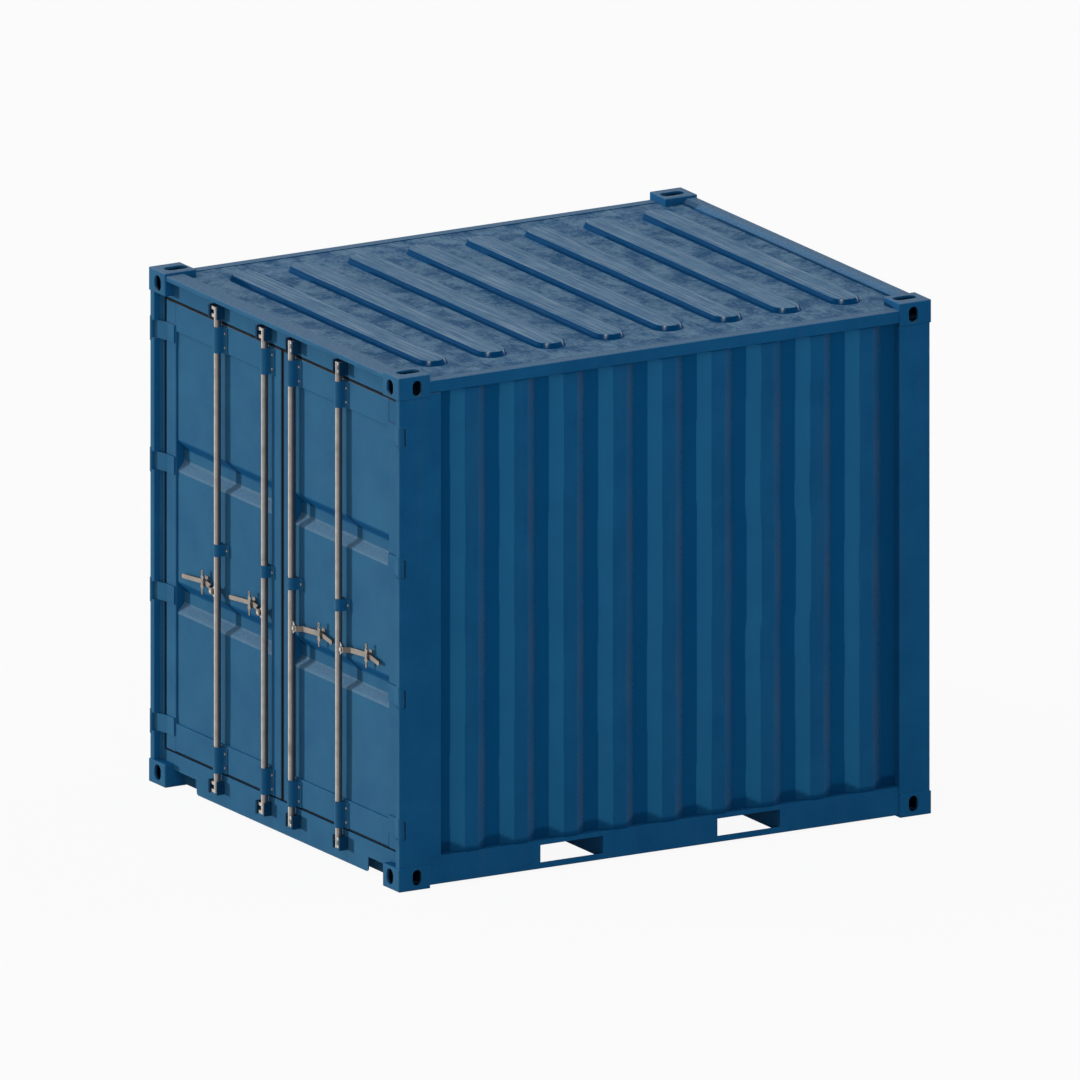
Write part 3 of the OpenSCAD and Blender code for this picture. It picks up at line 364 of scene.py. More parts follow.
def galvanisedSteel(name, settings):
    # hot-dip zinc that has gone dull: warm grey, cloudy bloom, a few brown stains, and painted shade: dark navy on
    # the faces that do not look out from the door end
    material, tree, shader, place = newMaterial(name, {"Metallic": 0.5})
    bloom = addNode(tree, "ShaderNodeTexNoise", {"Scale": perMetre(settings["bloomMm"]), "Detail": 4.0},
                    {"Vector": place})
    grain = addNode(tree, "ShaderNodeTexNoise", {"Scale": perMetre(settings["grainMm"]), "Detail": 2.0},
                    {"Vector": place})
    cloud = addNode(tree, "ShaderNodeMath", {"operation": "MULTIPLY_ADD", 1: settings["grainShare"]},
                    {0: grain.outputs[0], 2: bloom.outputs[0]})
    spread = addNode(tree, "ShaderNodeMapRange", {1: settings["cloudFrom"], 2: settings["cloudTo"]},
                     {0: cloud.outputs[0]})
    colour = addNode(tree, "ShaderNodeMix",
                     {"data_type": "RGBA", 6: linearColour(settings["dull"]), 7: linearColour(settings["light"])},
                     {0: spread.outputs[0]})
    stain = addNode(tree, "ShaderNodeTexNoise", {"Scale": perMetre(settings["stainMm"]), "Detail": 6.0},
                    {"Vector": place})
    stainAmount = addNode(tree, "ShaderNodeMapRange",
                          {1: settings["stainFrom"], 2: settings["stainTo"], 3: 0.0, 4: settings["stainShare"]},
                          {0: stain.outputs[0]})
    stained = addNode(tree, "ShaderNodeMix", {"data_type": "RGBA", 7: linearColour(settings["stain"])},
                      {0: stainAmount.outputs[0], 6: colour.outputs[2]})
    normal = addNode(tree, "ShaderNodeTexCoord", {}, {}).outputs["Normal"]
    facing = addNode(tree, "ShaderNodeSeparateXYZ", {}, {0: normal})
    # painted shade: faces whose normal turns away from -Y are mixed towards a dark navy, as if in shadow
    shadeSide = addNode(tree, "ShaderNodeMapRange",
                  {1: settings["shadeSideFrom"], 2: settings["shadeSideTo"], 3: 0.0, 4: settings["shadeSideShare"]},
                  {0: facing.outputs[1]})
    sideShaded = addNode(tree, "ShaderNodeMix", {"data_type": "RGBA", 7: linearColour(settings["shadeSide"])},
                    {0: shadeSide.outputs[0], 6: stained.outputs[2]})
    finishShader(tree, shader, settings, sideShaded.outputs[2], bloom.outputs[0], grain.outputs[0])
    return material


rubber = {"black": "#0a0a0c", "chalk": "#17171a", "chalkMm": 60, "roughness": (0.6, 0.8)}


def epdmRubber(name, settings):
    # extruded EPDM seal: near black, matt, with a chalky bloom
    material, tree, shader, place = newMaterial(name, {"Specular IOR Level": 0.05})
    chalk = addNode(tree, "ShaderNodeTexNoise", {"Scale": perMetre(settings["chalkMm"]), "Detail": 4.0},
                    {"Vector": place})
    colour = addNode(tree, "ShaderNodeMix",
                     {"data_type": "RGBA", 6: linearColour(settings["black"]), 7: linearColour(settings["chalk"])},
                     {0: chalk.outputs[0]})
    finishShader(tree, shader, settings, colour.outputs[2], chalk.outputs[0])
    return material


ply = {
    "face": "#8a6a4a", "dark": "#5d452f", "joint": "#2a211a", "grainMm": (14, 420, 30), "wearMm": 300,
    "sheetMm": 1155, "jointMm": 4, "wearShare": 0.6, "grainFrom": 0.6, "grainTo": 1.0,
    "roughness": (0.55, 0.75), "relief": 0.2, "reliefDepth": 0.8 * mm,
}


def plywoodBoards(name, settings):
    # keruing plywood: brown grain along the box, scuffed dark in traffic, dark joints between the sheets
    material, tree, shader, place = newMaterial(name, {"Specular IOR Level": 0.3})
    grainScale = addNode(tree, "ShaderNodeMapping", {"Scale": tuple(perMetre(s) for s in settings["grainMm"])},
                         {"Vector": place})
    grain = addNode(tree, "ShaderNodeTexNoise", {"Scale": 1.0, "Detail": 6.0, "Roughness": 0.65},
                    {"Vector": grainScale.outputs[0]})
    wear = addNode(tree, "ShaderNodeTexNoise", {"Scale": perMetre(settings["wearMm"]), "Detail": 5.0},
                   {"Vector": place})
    blend = addNode(tree, "ShaderNodeMath", {"operation": "MULTIPLY_ADD", 1: settings["wearShare"]},
                    {0: wear.outputs[0], 2: grain.outputs[0]})
    spread = addNode(tree, "ShaderNodeMapRange", {1: settings["grainFrom"], 2: settings["grainTo"]},
                     {0: blend.outputs[0]})
    colour = addNode(tree, "ShaderNodeMix",
                     {"data_type": "RGBA", 6: linearColour(settings["dark"]), 7: linearColour(settings["face"])},
                     {0: spread.outputs[0]})
    across = addNode(tree, "ShaderNodeSeparateXYZ", {}, {0: place})
    sheet = addNode(tree, "ShaderNodeMath", {"operation": "PINGPONG", 1: settings["sheetMm"] / 2 * mm},
                    {0: across.outputs[1]})
    gap = addNode(tree, "ShaderNodeMath", {"operation": "LESS_THAN", 1: settings["jointMm"] / 2 * mm},
                  {0: sheet.outputs[0]})
    seamed = addNode(tree, "ShaderNodeMix", {"data_type": "RGBA", 7: linearColour(settings["joint"])},
                     {0: gap.outputs[0], 6: colour.outputs[2]})
    finishShader(tree, shader, settings, seamed.outputs[2], wear.outputs[0], grain.outputs[0])
    return material


containerPaint = alkydPaint("alkyd_enamel", paint)
dustyPaint = roofPaint("dusty_enamel", roofDust)
# castings: the same enamel with painted shade in their hollows
castingShadedPaint = alkydPaint("casting_enamel_painted_shade", dict(paint, hollowShadeMm=8))
# keepers: a darker enamel, painted shade for parts that sit in shadow
keeperShadedPaint = alkydPaint("keeper_enamel_painted_shade", dict(paint, light="#0c3757", deep="#08273f", chalkSheenShare=0.02))
dullZinc = galvanisedSteel("galvanised_steel", zinc)
# handles and catches: a darker zinc, with a weaker painted shade on the faces turned from -Y
wornZinc = galvanisedSteel("worn_galvanised_steel", dict(zinc, light="#6d665f", dull="#544e48", shadeSideShare=0.5))
blackRubber = epdmRubber("epdm_rubber", rubber)
boards = plywoodBoards("plywood", ply)
print("materials made")

# Corrugated walls

besideBend = np.array([-2, -1, -0.4, 0.4, 1, 2])  # rows or columns of points round a bend, in folds

sideSheet = {
    "ridge": 72 * mm, "slope": 68 * mm, "pitch": 277 * mm, "depth": 36 * mm, "sheet": 2 * mm, "fold": 4 * mm,
    "count": 9, "centre": 30 * mm, "rows": 76, "footRows": 16, "footHeight": 90 * mm, "crease": 60,
    "rimFade": 150 * mm, "dentPull": 0.35, "dentRipple": 40, "dentInValley": 0.4,
    "kinkReach": 110 * mm, "kinkHeight": 300 * mm, "kinkStep": 40 * mm,
    "waveDepth": 1.2 * mm, "waves": ((3.1, 5, 0), (7.3, -2.7, 1)),  # radians a metre up and along, and a phase
    "valleyGrime": 46 * mm, "ridgeShade": 14 * mm, "shadeFade": 14 * mm, "headShade": 12 * mm,
    "footShare": 0.72, "headShare": 0.3, "endShare": 0.3,
    "slopeFrom": 0.03, "slopeTo": 0.97, "bleachAndLightShare": 0.28,
    "brownSlopeShare": 0.2, "brownSlopeEven": 0.7, "brownSlopeWave": (9, 3),  # radians a metre up and along
    "weld": 3.5 * mm, "weldSides": 6, "weldInset": 0.2 * mm, "weldShade": 0.9,
}
rearSheet = dict(sideSheet, count=8, centre=0.0)
# each dent: place along the wall, height, half length, half height, depth
rightDents = [(0.63, 1.50, 0.045, 0.16, 7 * mm), (0.66, 1.08, 0.04, 0.13, 6 * mm), (0.60, 0.92, 0.05, 0.10, 5 * mm),
              (1.17, 1.18, 0.05, 0.22, 6 * mm), (-0.24, 0.75, 0.06, 0.12, 4 * mm), (-0.81, 1.7, 0.05, 0.15, 3 * mm)]
leftDents = [(-0.55, 1.3, 0.05, 0.2, 6 * mm), (0.35, 0.8, 0.06, 0.14, 5 * mm), (0.9, 1.6, 0.05, 0.12, 4 * mm)]
rearDents = [(0.4, 1.1, 0.05, 0.16, 5 * mm), (-0.7, 0.7, 0.06, 0.12, 5 * mm)]
# each kink of a ridge: place along the wall, height, half of its sideways jog
rightKinks = [(0.515, 1.08, 6 * mm), (0.785, 1.09, 6 * mm), (1.14, 1.42, 4 * mm),
              (0.515, 1.62, -5 * mm), (0.785, 1.6, -5 * mm)]
leftKinks = [(-0.25, 1.2, 5 * mm)]


def ridgeRamp(along, sheet, centre):
    # distance to the nearest ridge's edge as a share of the slope: 1 and more on a ridge, 0 and less in a valley
    first = centre - sheet["pitch"] * (sheet["count"] - 1) / 2
    nearest = np.clip(np.round((along - first) / sheet["pitch"]), 0, sheet["count"] - 1)
    away = np.abs(along - first - nearest * sheet["pitch"])
    return (sheet["ridge"] / 2 + sheet["slope"] - away) / sheet["slope"]


def corrugatedWall(node, sheet, alongAxis, dents, kinks):
    # outward = (folded ramp - 1) * depth over the place along the wall, less a round hollow for each dent,
    # and a kink slides the ridge one way above its height and the other way below: jog * tanh(rise), fading out
    alongAxis = np.array(alongAxis, float)
    outward = np.cross(alongAxis, upAxis)
    corners = np.array([list(c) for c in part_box(node)])
    low, high = np.sort(corners @ alongAxis)
    face = (corners @ outward).max()
    bottom, top = corners[:, 2]
    sign = alongAxis.sum()
    centre = sheet["centre"] * sign
    halfRun = sheet["pitch"] * (sheet["count"] - 1) / 2
    middles = centre - halfRun + sheet["pitch"] * np.arange(sheet["count"])
    bends = np.array([sheet["ridge"] / 2, sheet["ridge"] / 2 + sheet["slope"]])
    offsets = np.concatenate([[0, sheet["ridge"] / 4, sheet["ridge"] / 2 + sheet["slope"] / 2],
                              (bends[:, None] + besideBend * sheet["fold"]).ravel()])
    along = (middles[:, None] + np.concatenate([offsets, -offsets[1:]])).ravel()
    along = np.unique(np.clip(np.concatenate([along, [low, high]]), low, high))
    footTop = bottom + sheet["footHeight"]
    height = np.concatenate([np.linspace(bottom, footTop, sheet["footRows"], endpoint=False),
                             np.linspace(footTop, top, sheet["rows"])])
    a, z = np.meshgrid(along, height)
    hollow = sum(depth * np.exp(-((a - sign * y) / halfL) ** 2 - ((z - h) / halfH) ** 2)
                 for y, h, halfL, halfH, depth in dents)
    slide = sum(jog * np.exp(-((a - sign * y) / sheet["kinkReach"]) ** 2 - ((z - h) / sheet["kinkHeight"]) ** 2)
                * np.tanh((z - h) / sheet["kinkStep"]) for y, h, jog in kinks)
    waves = sum(np.sin(up * z + run * a + phase) for up, run, phase in sheet["waves"])
    wave = sheet["waveDepth"] * waves / len(sheet["waves"])
    edge = np.minimum(np.minimum(a - low, high - a), np.minimum(z - bottom, top - z))
    inside = np.clip(edge / sheet["rimFade"], 0, 1)
    pull = sheet["dentPull"] * (hollow * np.sin(sheet["dentRipple"] * z) + wave)
    shifted = a + inside * (pull - sign * slide)
    ridge = foldedRamp(ridgeRamp(shifted, sheet, centre), sheet["fold"] / sheet["slope"])
    sunk = hollow * (sheet["dentInValley"] + (1 - sheet["dentInValley"]) * ridge) + np.abs(wave)
    out = face + (ridge - 1) * sheet["depth"] - inside * sunk
    points = a[..., None] * alongAxis + out[..., None] * outward + z[..., None] * upAxis
    wall = meshPiece(node + "_sheet", "frame", points, gridFaces(*a.shape).tolist(), containerPaint, sheet["crease"])
    # painted shade with some grime: darker at the foot and higher in the valleys, where the rail would shade them, a
    # thin band under the top rail, and the valleys beside the posts, where the posts would cast shade
    reach = sheet["ridgeShade"] + (sheet["valleyGrime"] - sheet["ridgeShade"]) * (1 - ridge)
    foot = np.clip(1 - (z - bottom - reach) / sheet["shadeFade"], 0, 1)
    head = np.exp(-(top - z) / sheet["headShade"])
    atEnd = np.abs(shifted - centre) > halfRun + bends[1]  # the valleys beside the posts
    grimeAndShade = sheet["footShare"] * foot + sheet["headShare"] * head + sheet["endShare"] * atEnd
    pointValues(wall, "grimeAndShade", np.clip(grimeAndShade, 0, 1))
    onSlope = (ridge > sheet["slopeFrom"]) & (ridge < sheet["slopeTo"])
    rising = np.gradient(ridge, axis=1) * sign > 0  # slopes that face the door end stay clean; the others get a brown tint that is partly soil and partly painted warm light
    soilUp, soilAlong = sheet["brownSlopeWave"]
    uneven = sheet["brownSlopeEven"] + (1 - sheet["brownSlopeEven"]) * np.sin(soilUp * z + soilAlong * a)
    # painted shade in the valleys, none on the slopes that face the door end
    pointValues(wall, "valley", np.where(onSlope & rising, 0, 1 - ridge))
    pointValues(wall, "soilAndWarmLight", sheet["brownSlopeShare"] * (onSlope & ~rising) * uneven)
    # painted light with sun bleach on the slopes that face the door end
    pointValues(wall, "bleachAndLight", sheet["bleachAndLightShare"] * (onSlope & rising))
    thicken(wall, sheet["sheet"])
    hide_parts(node)
    paths = [np.column_stack([points[row, :, :2], np.full(len(along), level)])
             for row, level in ((0, bottom + sheet["weldInset"]), (-1, top - sheet["weldInset"]))]
    beads = [tubeAlong(path, sheet["weld"], sheet["weldSides"]) for path in paths]
    weld = meshPiece(node + "_weld", "frame", *joined(beads), containerPaint)
    # the weld beads take the same painted shade
    pointValues(weld, "grimeAndShade", np.full(len(weld.data.vertices), sheet["weldShade"]))


corrugatedWall("right_side_wall", sideSheet, (0, 1, 0), rightDents, rightKinks)
corrugatedWall("left_side_wall", sideSheet, (0, -1, 0), leftDents, leftKinks)
corrugatedWall("rear_wall", rearSheet, (-1, 0, 0), rearDents, [])
print("walls made")

# Roof

roofSheet = {
    "castingX": 1057 * mm, "castingY": 1317.5 * mm, "columns": 60, "rows": 120, "sheet": 2 * mm,
    "sag": 1.5 * mm, "sagFade": 300 * mm, "sagEven": 0.6, "sagWaves": (2.3, 3.7), "sagPhase": 1,
    "ribs": 8, "pitch": 331 * mm, "shift": 28 * mm, "ribWidth": 156 * mm, "ribReach": 975 * mm, "ribHeight": 26 * mm,
    # inset from the rib's foot in mm, share of its height, and strength of the painted highlight, ring by ring
    "rings": [(-7, 0, 0), (-2.5, 0.04, 0), (0, 0.16, 0.1), (4, 0.62, 0.3), (6.5, 0.86, 0.6), (10.5, 0.97, 0.2),
              (16, 1, 0), (34, 1, 0), (64, 1, 0)],
    "ribCrease": 50, "endSteps": 25, "sideSteps": 40, "glintTurn": math.radians(38), "glintWidth": math.radians(5),
    "weld": 4 * mm, "weldSides": 6, "seamSteps": (100, 120),
}


def ribOutline(inset):  # slot outline: two half circles of the rib's half width, joined by straight sides
    half = roofSheet["ribWidth"] / 2
    straight = roofSheet["ribReach"] - half
    turn = np.linspace(-np.pi / 2, np.pi / 2, roofSheet["endSteps"])
    run = np.linspace(straight, -straight, roofSheet["sideSteps"])[1:-1]
    end = np.column_stack([straight + (half - inset) * np.cos(turn), (half - inset) * np.sin(turn)])
    side = np.column_stack([run, np.full(len(run), half - inset)])
    return np.vstack([end, side, -end, -side])


low, high = (np.array(list(c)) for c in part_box("roof_panel"))
roofTop = high[2] - roofSheet["ribHeight"]
x = np.unique(np.concatenate([np.linspace(low[0], high[0], roofSheet["columns"]),
                              [-roofSheet["castingX"], roofSheet["castingX"]]]))
y = np.unique(np.concatenate([np.linspace(low[1], high[1], roofSheet["rows"]),
                              [-roofSheet["castingY"], roofSheet["castingY"]]]))
gx, gy = np.meshgrid(x, y)
edge = np.minimum(np.minimum(gx - low[0], high[0] - gx), np.minimum(gy - low[1], high[1] - gy))
ripple = np.sin(roofSheet["sagWaves"][0] * gx + roofSheet["sagPhase"]) * np.sin(roofSheet["sagWaves"][1] * gy)
sag = roofSheet["sag"] * np.clip(edge / roofSheet["sagFade"], 0, 1)  # the sheet hangs a little between its edges
sag *= roofSheet["sagEven"] + (1 - roofSheet["sagEven"]) * ripple
faces = gridFaces(*gx.shape)
middle = np.stack([gx, gy], axis=-1).reshape(-1, 2)[faces].mean(axis=1)
corner = (np.abs(middle[:, 0]) > roofSheet["castingX"]) & (np.abs(middle[:, 1]) > roofSheet["castingY"])
roofPoints = np.stack([gx, gy, roofTop - sag], axis=-1)
roof = meshPiece("roof_sheet", "frame", roofPoints, faces[~corner].tolist(), dustyPaint)
thicken(roof, roofSheet["sheet"])
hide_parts("roof_panel")

insets, shares, wear = np.array(roofSheet["rings"]).T
outlines = np.stack([ribOutline(inset * mm) for inset in insets])
levels = shares * (high[2] - roofTop) + roofTop
levels[0] -= roofSheet["sheet"]  # the lowest ring lies in the sheet
ringLevels = np.broadcast_to(levels[:, None, None], (*outlines.shape[:2], 1))
ribs = []
for k in range(roofSheet["ribs"]):  # each rib: rings of the outline, set in and raised step by step, closed on top
    place = np.array([0, (k - (roofSheet["ribs"] - 1) / 2) * roofSheet["pitch"] + roofSheet["shift"]])
    rings = np.concatenate([outlines + place, ringLevels], axis=2)
    count = outlines.shape[1]
    cap = [list(range((len(levels) - 1) * count, len(levels) * count))]
    ribs.append((rings.reshape(-1, 3), gridFaces(len(levels), count, wrap=True).tolist() + cap))
ribPiece = meshPiece("roof_ribs", "frame", *joined(ribs), dustyPaint, roofSheet["ribCrease"])
pointValues(ribPiece, "rib", np.ones(len(ribPiece.data.vertices)))
# painted highlight where a glint would catch on each rib end
turn = np.arctan2(outlines[0, :, 1], np.abs(outlines[0, :, 0]) - roofSheet["ribReach"] + roofSheet["ribWidth"] / 2)
glint = np.exp(-((np.abs(turn) - roofSheet["glintTurn"]) / roofSheet["glintWidth"]) ** 2)
pointValues(ribPiece, "glintMark", np.tile((wear[:, None] * glint).ravel(), roofSheet["ribs"]))

seamX = np.linspace(-roofSheet["castingX"], roofSheet["castingX"], roofSheet["seamSteps"][0])
seamY = np.linspace(-roofSheet["castingY"], roofSheet["castingY"], roofSheet["seamSteps"][1])
seams = [np.column_stack([np.full(len(seamY), s), seamY, np.full(len(seamY), roofTop)]) for s in (low[0], high[0])]
seams += [np.column_stack([seamX, np.full(len(seamX), s), np.full(len(seamX), roofTop)]) for s in (low[1], high[1])]
beads = [tubeAlong(seam, roofSheet["weld"], roofSheet["weldSides"]) for seam in seams]
roofWeld = meshPiece("roof_weld", "frame", *joined(beads), dustyPaint)
print("roof made")

# Doors

doorSheet = {
    "grooves": (961.0 * mm, 1674.0 * mm), "grooveHeight": 148 * mm, "slope": 40 * mm, "depth": 36 * mm,
    "fold": 6 * mm, "sheet": 3 * mm, "columns": 40, "rows": 40, "crease": 60,
    "flat": 1e-4, "settled": 0.21,  # a smaller slope counts as flat
    "bulge": 1.2 * mm, "bulgeFade": 200 * mm, "bulgeWaves": (5, 3.1), "bulgePhase": 2,
}
seal = {
    "inner": ((12, 1130), (184, 2440)), "innerCornerMm": 1, "cornerMm": 9, "steps": 6, "crease": 50,
    # place across the seal from the door outwards, and depth behind the door's face, in mm
    "section": [(0, 2), (0.25, 0.6), (0.55, 0.2), (0.85, 1.0), (1, 3.2), (0.92, 6), (0.7, 8), (0.9, 10), (1, 13),
                (0.9, 17), (0.65, 19), (0.8, 22), (0.5, 24), (0, 24)],
}
dome = {
    "radius": 7.5 * mm, "height": 5.5 * mm, "segments": 14, "crease": 40,
    # shares of the radius and of the height, ring by ring
    "rings": [(1.0, 0.0), (1.0, 0.25), (0.9, 0.55), (0.7, 0.8), (0.4, 0.95), (0.1, 1.0)],
    "barX": (131 * mm, 590 * mm), "flange": 42 * mm, "plate": 5 * mm,
    "endZ": (214 * mm, 285 * mm, 2330 * mm, 2401 * mm), "midZ": 1305 * mm,
}
web = {
    "pinX": 1206 * mm, "pinY": -1482 * mm, "z": (305.8 * mm, 968 * mm, 1622.2 * mm, 2284.3 * mm), "half": 44 * mm,
    "inner": 10 * mm, "outer": 20.5 * mm, "from": math.radians(66), "to": math.radians(140), "steps": 12,
}


def pressedPanel(side):
    # depth behind the face = depth * folded ramp of the distance to the nearer groove's edge
    low, high = (np.array(list(c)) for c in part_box(side + "_door_panel"))
    bends = np.array([doorSheet["grooveHeight"] / 2, doorSheet["grooveHeight"] / 2 - doorSheet["slope"]])
    offsets = np.concatenate([[0.0], (bends[:, None] + besideBend * doorSheet["fold"]).ravel()])
    near = np.concatenate([offsets, -offsets])
    z = np.concatenate([(np.array(doorSheet["grooves"])[:, None] + near).ravel(),
                        np.linspace(low[2], high[2], doorSheet["rows"])])
    z = np.unique(np.round(z, 6))  # to a micron, so that rows that fall together become one
    x = np.linspace(low[0], high[0], doorSheet["columns"])
    gx, gz = np.meshgrid(x, z)
    away = np.abs(gz[..., None] - np.array(doorSheet["grooves"])).min(axis=-1)
    groove = foldedRamp((doorSheet["grooveHeight"] / 2 - away) / doorSheet["slope"],
                        doorSheet["fold"] / doorSheet["slope"])
    edge = np.minimum(np.minimum(gx - low[0], high[0] - gx), np.minimum(gz - low[2], high[2] - gz))
    waveX, waveZ = doorSheet["bulgeWaves"]
    bulge = doorSheet["bulge"] * np.clip(edge / doorSheet["bulgeFade"], 0, 1)
    bulge *= np.sin(waveX * gx + doorSheet["bulgePhase"]) * np.sin(waveZ * gz)
    depth = low[1] + doorSheet["depth"] * groove + np.abs(bulge)
    panel = meshPiece(side + "_door_sheet", side + "_door", np.stack([gx, depth, gz], axis=-1),
                      gridFaces(*gx.shape).tolist(), containerPaint, doorSheet["crease"])
    thicken(panel, doorSheet["sheet"])
    slope = np.gradient(groove, axis=0)  # below 0 on a groove's upper slope, which faces down, above 0 on the other
    # painted shade on the upper slopes, which face down
    pointValues(panel, "valley", np.where(slope < -doorSheet["flat"], 1.0, 0.0))
    pointValues(panel, "settled", np.where(slope > doorSheet["flat"], doorSheet["settled"], 0.0))
    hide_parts(side + "_door_panel")


def roundedRectangle(x0, x1, z0, z1, radius, steps):  # corner arcs of one radius, anticlockwise in X and Z
    turn = np.linspace(0, np.pi / 2, steps)
    arcs = [np.column_stack([cx + radius * np.cos(turn + start), cz + radius * np.sin(turn + start)])
            for cx, cz, start in ((x1 - radius, z1 - radius, 0), (x0 + radius, z1 - radius, np.pi / 2),
                                  (x0 + radius, z0 + radius, np.pi), (x1 - radius, z0 + radius, 1.5 * np.pi))]
    return np.vstack(arcs)


def doorSeal(side, sign):
    # section carried round the door's edge: each point lies between the door's outline and the seal's outer one
    node = side + "_door_gasket"
    low, high = (np.array(list(c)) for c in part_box(node))
    (innerX, outerX), (lowZ, highZ) = seal["inner"]
    xs = sorted((sign * innerX * mm, sign * outerX * mm))
    inside = roundedRectangle(xs[0], xs[1], lowZ * mm, highZ * mm, seal["innerCornerMm"] * mm, seal["steps"])
    outside = roundedRectangle(low[0], high[0], low[2], high[2], seal["cornerMm"] * mm, seal["steps"])
    section = np.array(seal["section"])
    flat = inside + section[:, 0, None, None] * (outside - inside)
    depth = np.broadcast_to((low[1] + section[:, 1] * mm)[:, None], flat.shape[:2])
    points = np.stack([flat[..., 0], depth, flat[..., 1]], axis=-1)
    closed = np.concatenate([points, points[:1]])
    ring = gridFaces(len(closed), flat.shape[1], wrap=True) % (len(points) * flat.shape[1])
    gasket = meshPiece(node + "_lip", side + "_door", points, ring.tolist(), blackRubber, seal["crease"])
    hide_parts(node)


def guideBolts(side, sign):
    # domed heads: rings of a circle that shrink as they rise from the guide's flange towards -Y
    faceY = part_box(side + "_door_frame")[0].y - dome["plate"]
    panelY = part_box(side + "_door_panel")[0].y - dome["plate"]
    flanges = (-dome["flange"], dome["flange"])
    centres = [(sign * (bar + flange), faceY, z) for bar in dome["barX"] for flange in flanges for z in dome["endZ"]]
    centres += [(sign * (dome["barX"][1] + flange), panelY, dome["midZ"]) for flange in flanges]
    centres += [(sign * (dome["barX"][0] + dome["flange"]), panelY, dome["midZ"]),
                (sign * (dome["barX"][0] - dome["flange"]), faceY, dome["midZ"])]
    share = np.array(dome["rings"])
    angle = np.linspace(0, 2 * np.pi, dome["segments"], endpoint=False)
    radius = dome["radius"] * share[:, 0, None]
    rise = np.broadcast_to(-dome["height"] * share[:, 1, None], (len(share), len(angle)))
    head = np.stack([radius * np.cos(angle), rise, radius * np.sin(angle)], axis=-1).reshape(-1, 3)
    made = gridFaces(len(share), len(angle), wrap=True).tolist()
    made.append(list(range((len(share) - 1) * len(angle), len(share) * len(angle))))
    bolts = meshPiece(side + "_guide_bolts", side + "_door",
                      *joined([(head + np.array(centre), made) for centre in centres]), dullZinc, dome["crease"])


def hingeWebs(side, sign):
    # webs behind the knuckles: part of a ring round the pin, pin + radius * (cos(a), sin(a)), drawn up to its height
    turn = np.linspace(web["from"], web["to"], web["steps"])
    arc = np.column_stack([np.cos(turn), np.sin(turn)])
    ring = np.vstack([web["outer"] * arc, web["inner"] * arc[::-1]]) + (web["pinX"], web["pinY"])
    ring = (ring * (sign, 1))[::sign]  # anticlockwise on both doors
    count = len(ring)
    made = gridFaces(2, count, wrap=True).tolist() + [list(range(count))[::-1], list(range(count, 2 * count))]
    ends = (-web["half"], web["half"])
    parts = [np.vstack([np.column_stack([ring, np.full(count, z + end)]) for end in ends]) for z in web["z"]]
    webs = meshPiece(side + "_hinge_webs", side + "_door", *joined([(part, made) for part in parts]), containerPaint)


for side, sign in (("left", -1), ("right", 1)):
    pressedPanel(side)
    hingeWebs(side, sign)
    doorSeal(side, sign)
    guideBolts(side, sign)
print("doors made")

# Finishes of the CAD nodes

finish = {"container_paint": containerPaint, "roof_paint": dustyPaint, "zinc_steel": dullZinc,
          "gasket": blackRubber, "floor_boards": boards}
handled = {"keepers": keeperShadedPaint, "handle": wornZinc, "catches": wornZinc, "castings": castingShadedPaint}
for part in frame["record"]["subparts"]:
    materials = nodes[part["node"]].data.materials
    materials.clear()
    materials.append(handled.get(part["node"].split("_")[-1], finish[part["material_slot"]]))
print("finishes set")

# Floor, light and camera

studio = {
    "centre": (0.0, 0.0, 1.2955), "azimuth": 60, "elevation": 15, "distance": 14, "frameWidth": 5.253, "clipEnd": 100,
    "floor": 60, "floorGrey": "#bdbdbd", "floorWhite": 0.93,
    "fill": (0.34, 0.35, 0.36), "fillStrength": 1.0,
    "key": (1.0, 0.97, 0.93), "keyStrength": 3.25, "keyFrom": (-0.77, -0.64, 0.06), "keySize": 3,
    "front": (1.0, 1.0, 1.0), "frontStrength": 1.27, "frontFrom": (0.92, -0.34, 0.15), "frontSize": 36,
    "top": (1.0, 1.0, 1.0), "topStrength": 1.4, "topFrom": (-0.15, -0.25, 1.0), "topSize": 60,
    "rim": (1.0, 0.96, 0.92), "rimStrength": 1.2, "rimFrom": (0.1, 1.0, 0.15), "rimSize": 20,
}


def seenShare(tree):  # 1 for rays of the camera, off a shiny face or through glass, 0 for those that carry light
    rays = addNode(tree, "ShaderNodeLightPath", {}, {})
    seen = addNode(tree, "ShaderNodeMath", {"operation": "ADD"},
                   {0: rays.outputs["Is Camera Ray"], 1: rays.outputs["Is Glossy Ray"]})
    return addNode(tree, "ShaderNodeMath", {"operation": "ADD", "use_clamp": True},
                   {0: seen.outputs[0], 1: rays.outputs["Is Transmission Ray"]})


world = bpy.data.worlds.new("studio")
bpy.context.scene.world = world
world.use_nodes = True
tree = world.node_tree
tree.nodes.clear()
shown = seenShare(tree)
fill = addNode(tree, "ShaderNodeBackground", {0: (*studio["fill"], 1.0), 1: studio["fillStrength"]}, {})
white = addNode(tree, "ShaderNodeBackground", {0: (1, 1, 1, 1), 1: 1.0}, {})
sky = addNode(tree, "ShaderNodeMixShader", {}, {0: shown.outputs[0], 1: fill.outputs[0], 2: white.outputs[0]})
addNode(tree, "ShaderNodeOutputWorld", {}, {0: sky.outputs[0]})

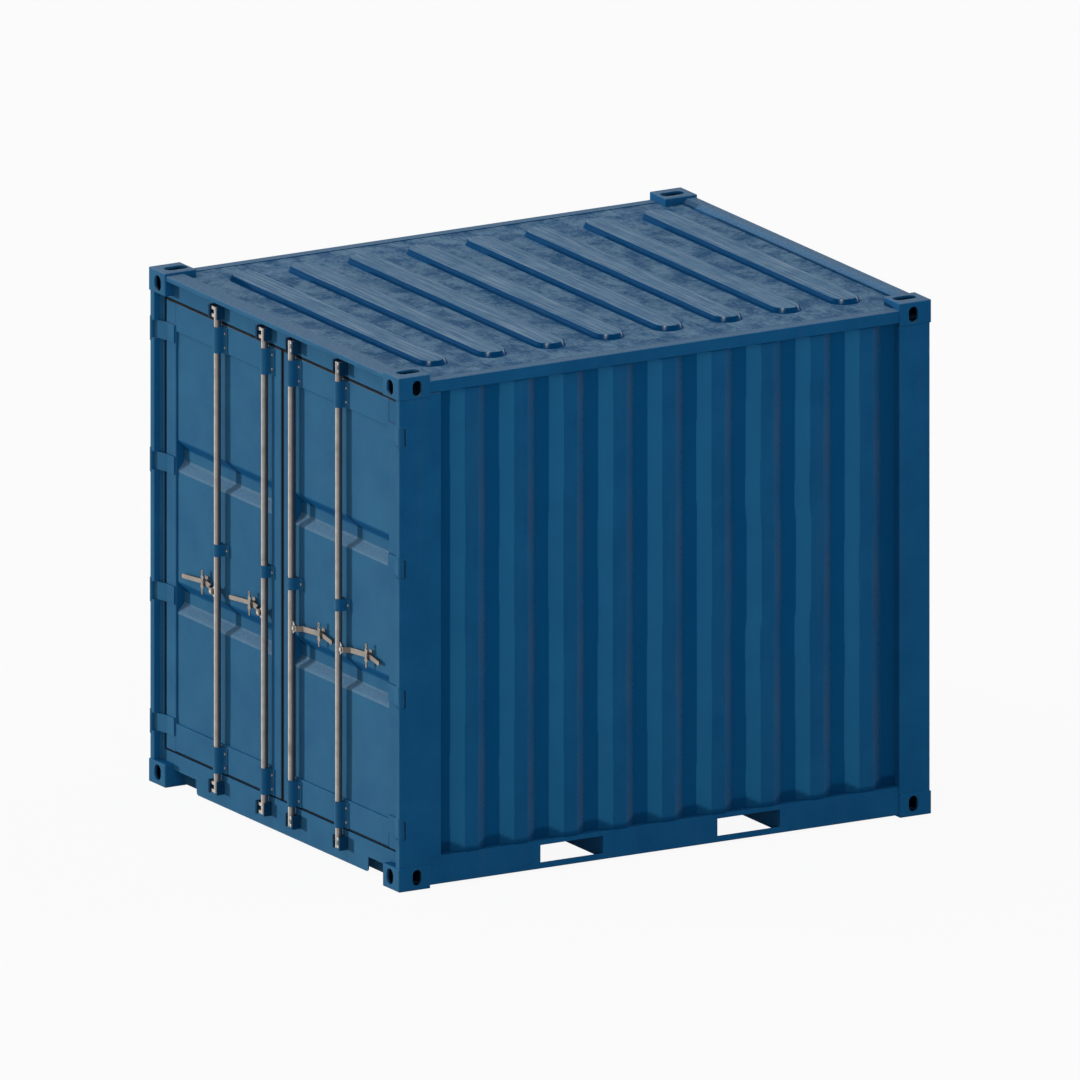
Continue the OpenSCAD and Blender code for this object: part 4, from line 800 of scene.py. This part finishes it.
floorMaterial = bpy.data.materials.new("studio_floor")
floorMaterial.use_nodes = True
tree = floorMaterial.node_tree
tree.nodes.clear()
shown = seenShare(tree)
amount = addNode(tree, "ShaderNodeMath", {"operation": "MULTIPLY", 1: studio["floorWhite"]}, {0: shown.outputs[0]})
plain = addNode(tree, "ShaderNodeBsdfDiffuse", {0: linearColour(studio["floorGrey"])}, {})
glow = addNode(tree, "ShaderNodeEmission", {0: (1, 1, 1, 1), 1: 1.0}, {})
mixed = addNode(tree, "ShaderNodeMixShader", {}, {0: amount.outputs[0], 1: plain.outputs[0], 2: glow.outputs[0]})
addNode(tree, "ShaderNodeOutputMaterial", {}, {0: mixed.outputs[0]})

half = studio["floor"] / 2
floorMesh = bpy.data.meshes.new("studio_floor")
floorMesh.from_pydata([(-half, -half, 0), (half, -half, 0), (half, half, 0), (-half, half, 0)], [], [(0, 1, 2, 3)])
floorMesh.materials.append(floorMaterial)
floor = bpy.data.objects.new("studio_floor", floorMesh)
bpy.context.scene.collection.objects.link(floor)

for name in ("key", "front", "top", "rim"):
    lamp = bpy.data.lights.new(name, "SUN")
    lamp.energy = studio[name + "Strength"]
    lamp.color = studio[name]
    lamp.angle = math.radians(studio[name + "Size"])
    light = bpy.data.objects.new(name, lamp)
    light.rotation_euler = Vector(studio[name + "From"]).to_track_quat("Z", "Y").to_euler()
    bpy.context.scene.collection.objects.link(light)

azimuth, elevation = math.radians(studio["azimuth"]), math.radians(studio["elevation"])
across = math.cos(elevation)  # the level share of the view
towards = Vector((math.sin(azimuth) * across, -math.cos(azimuth) * across, math.sin(elevation)))
lens = bpy.data.cameras.new("camera")
lens.type = "ORTHO"
lens.ortho_scale = studio["frameWidth"]
lens.clip_end = studio["clipEnd"]
camera = bpy.data.objects.new("camera", lens)
camera.location = Vector(studio["centre"]) + studio["distance"] * towards
camera.rotation_euler = towards.to_track_quat("Z", "Y").to_euler()
bpy.context.scene.collection.objects.link(camera)
bpy.context.scene.camera = camera
bpy.context.scene.view_settings.view_transform = "Standard"
print("stage set")
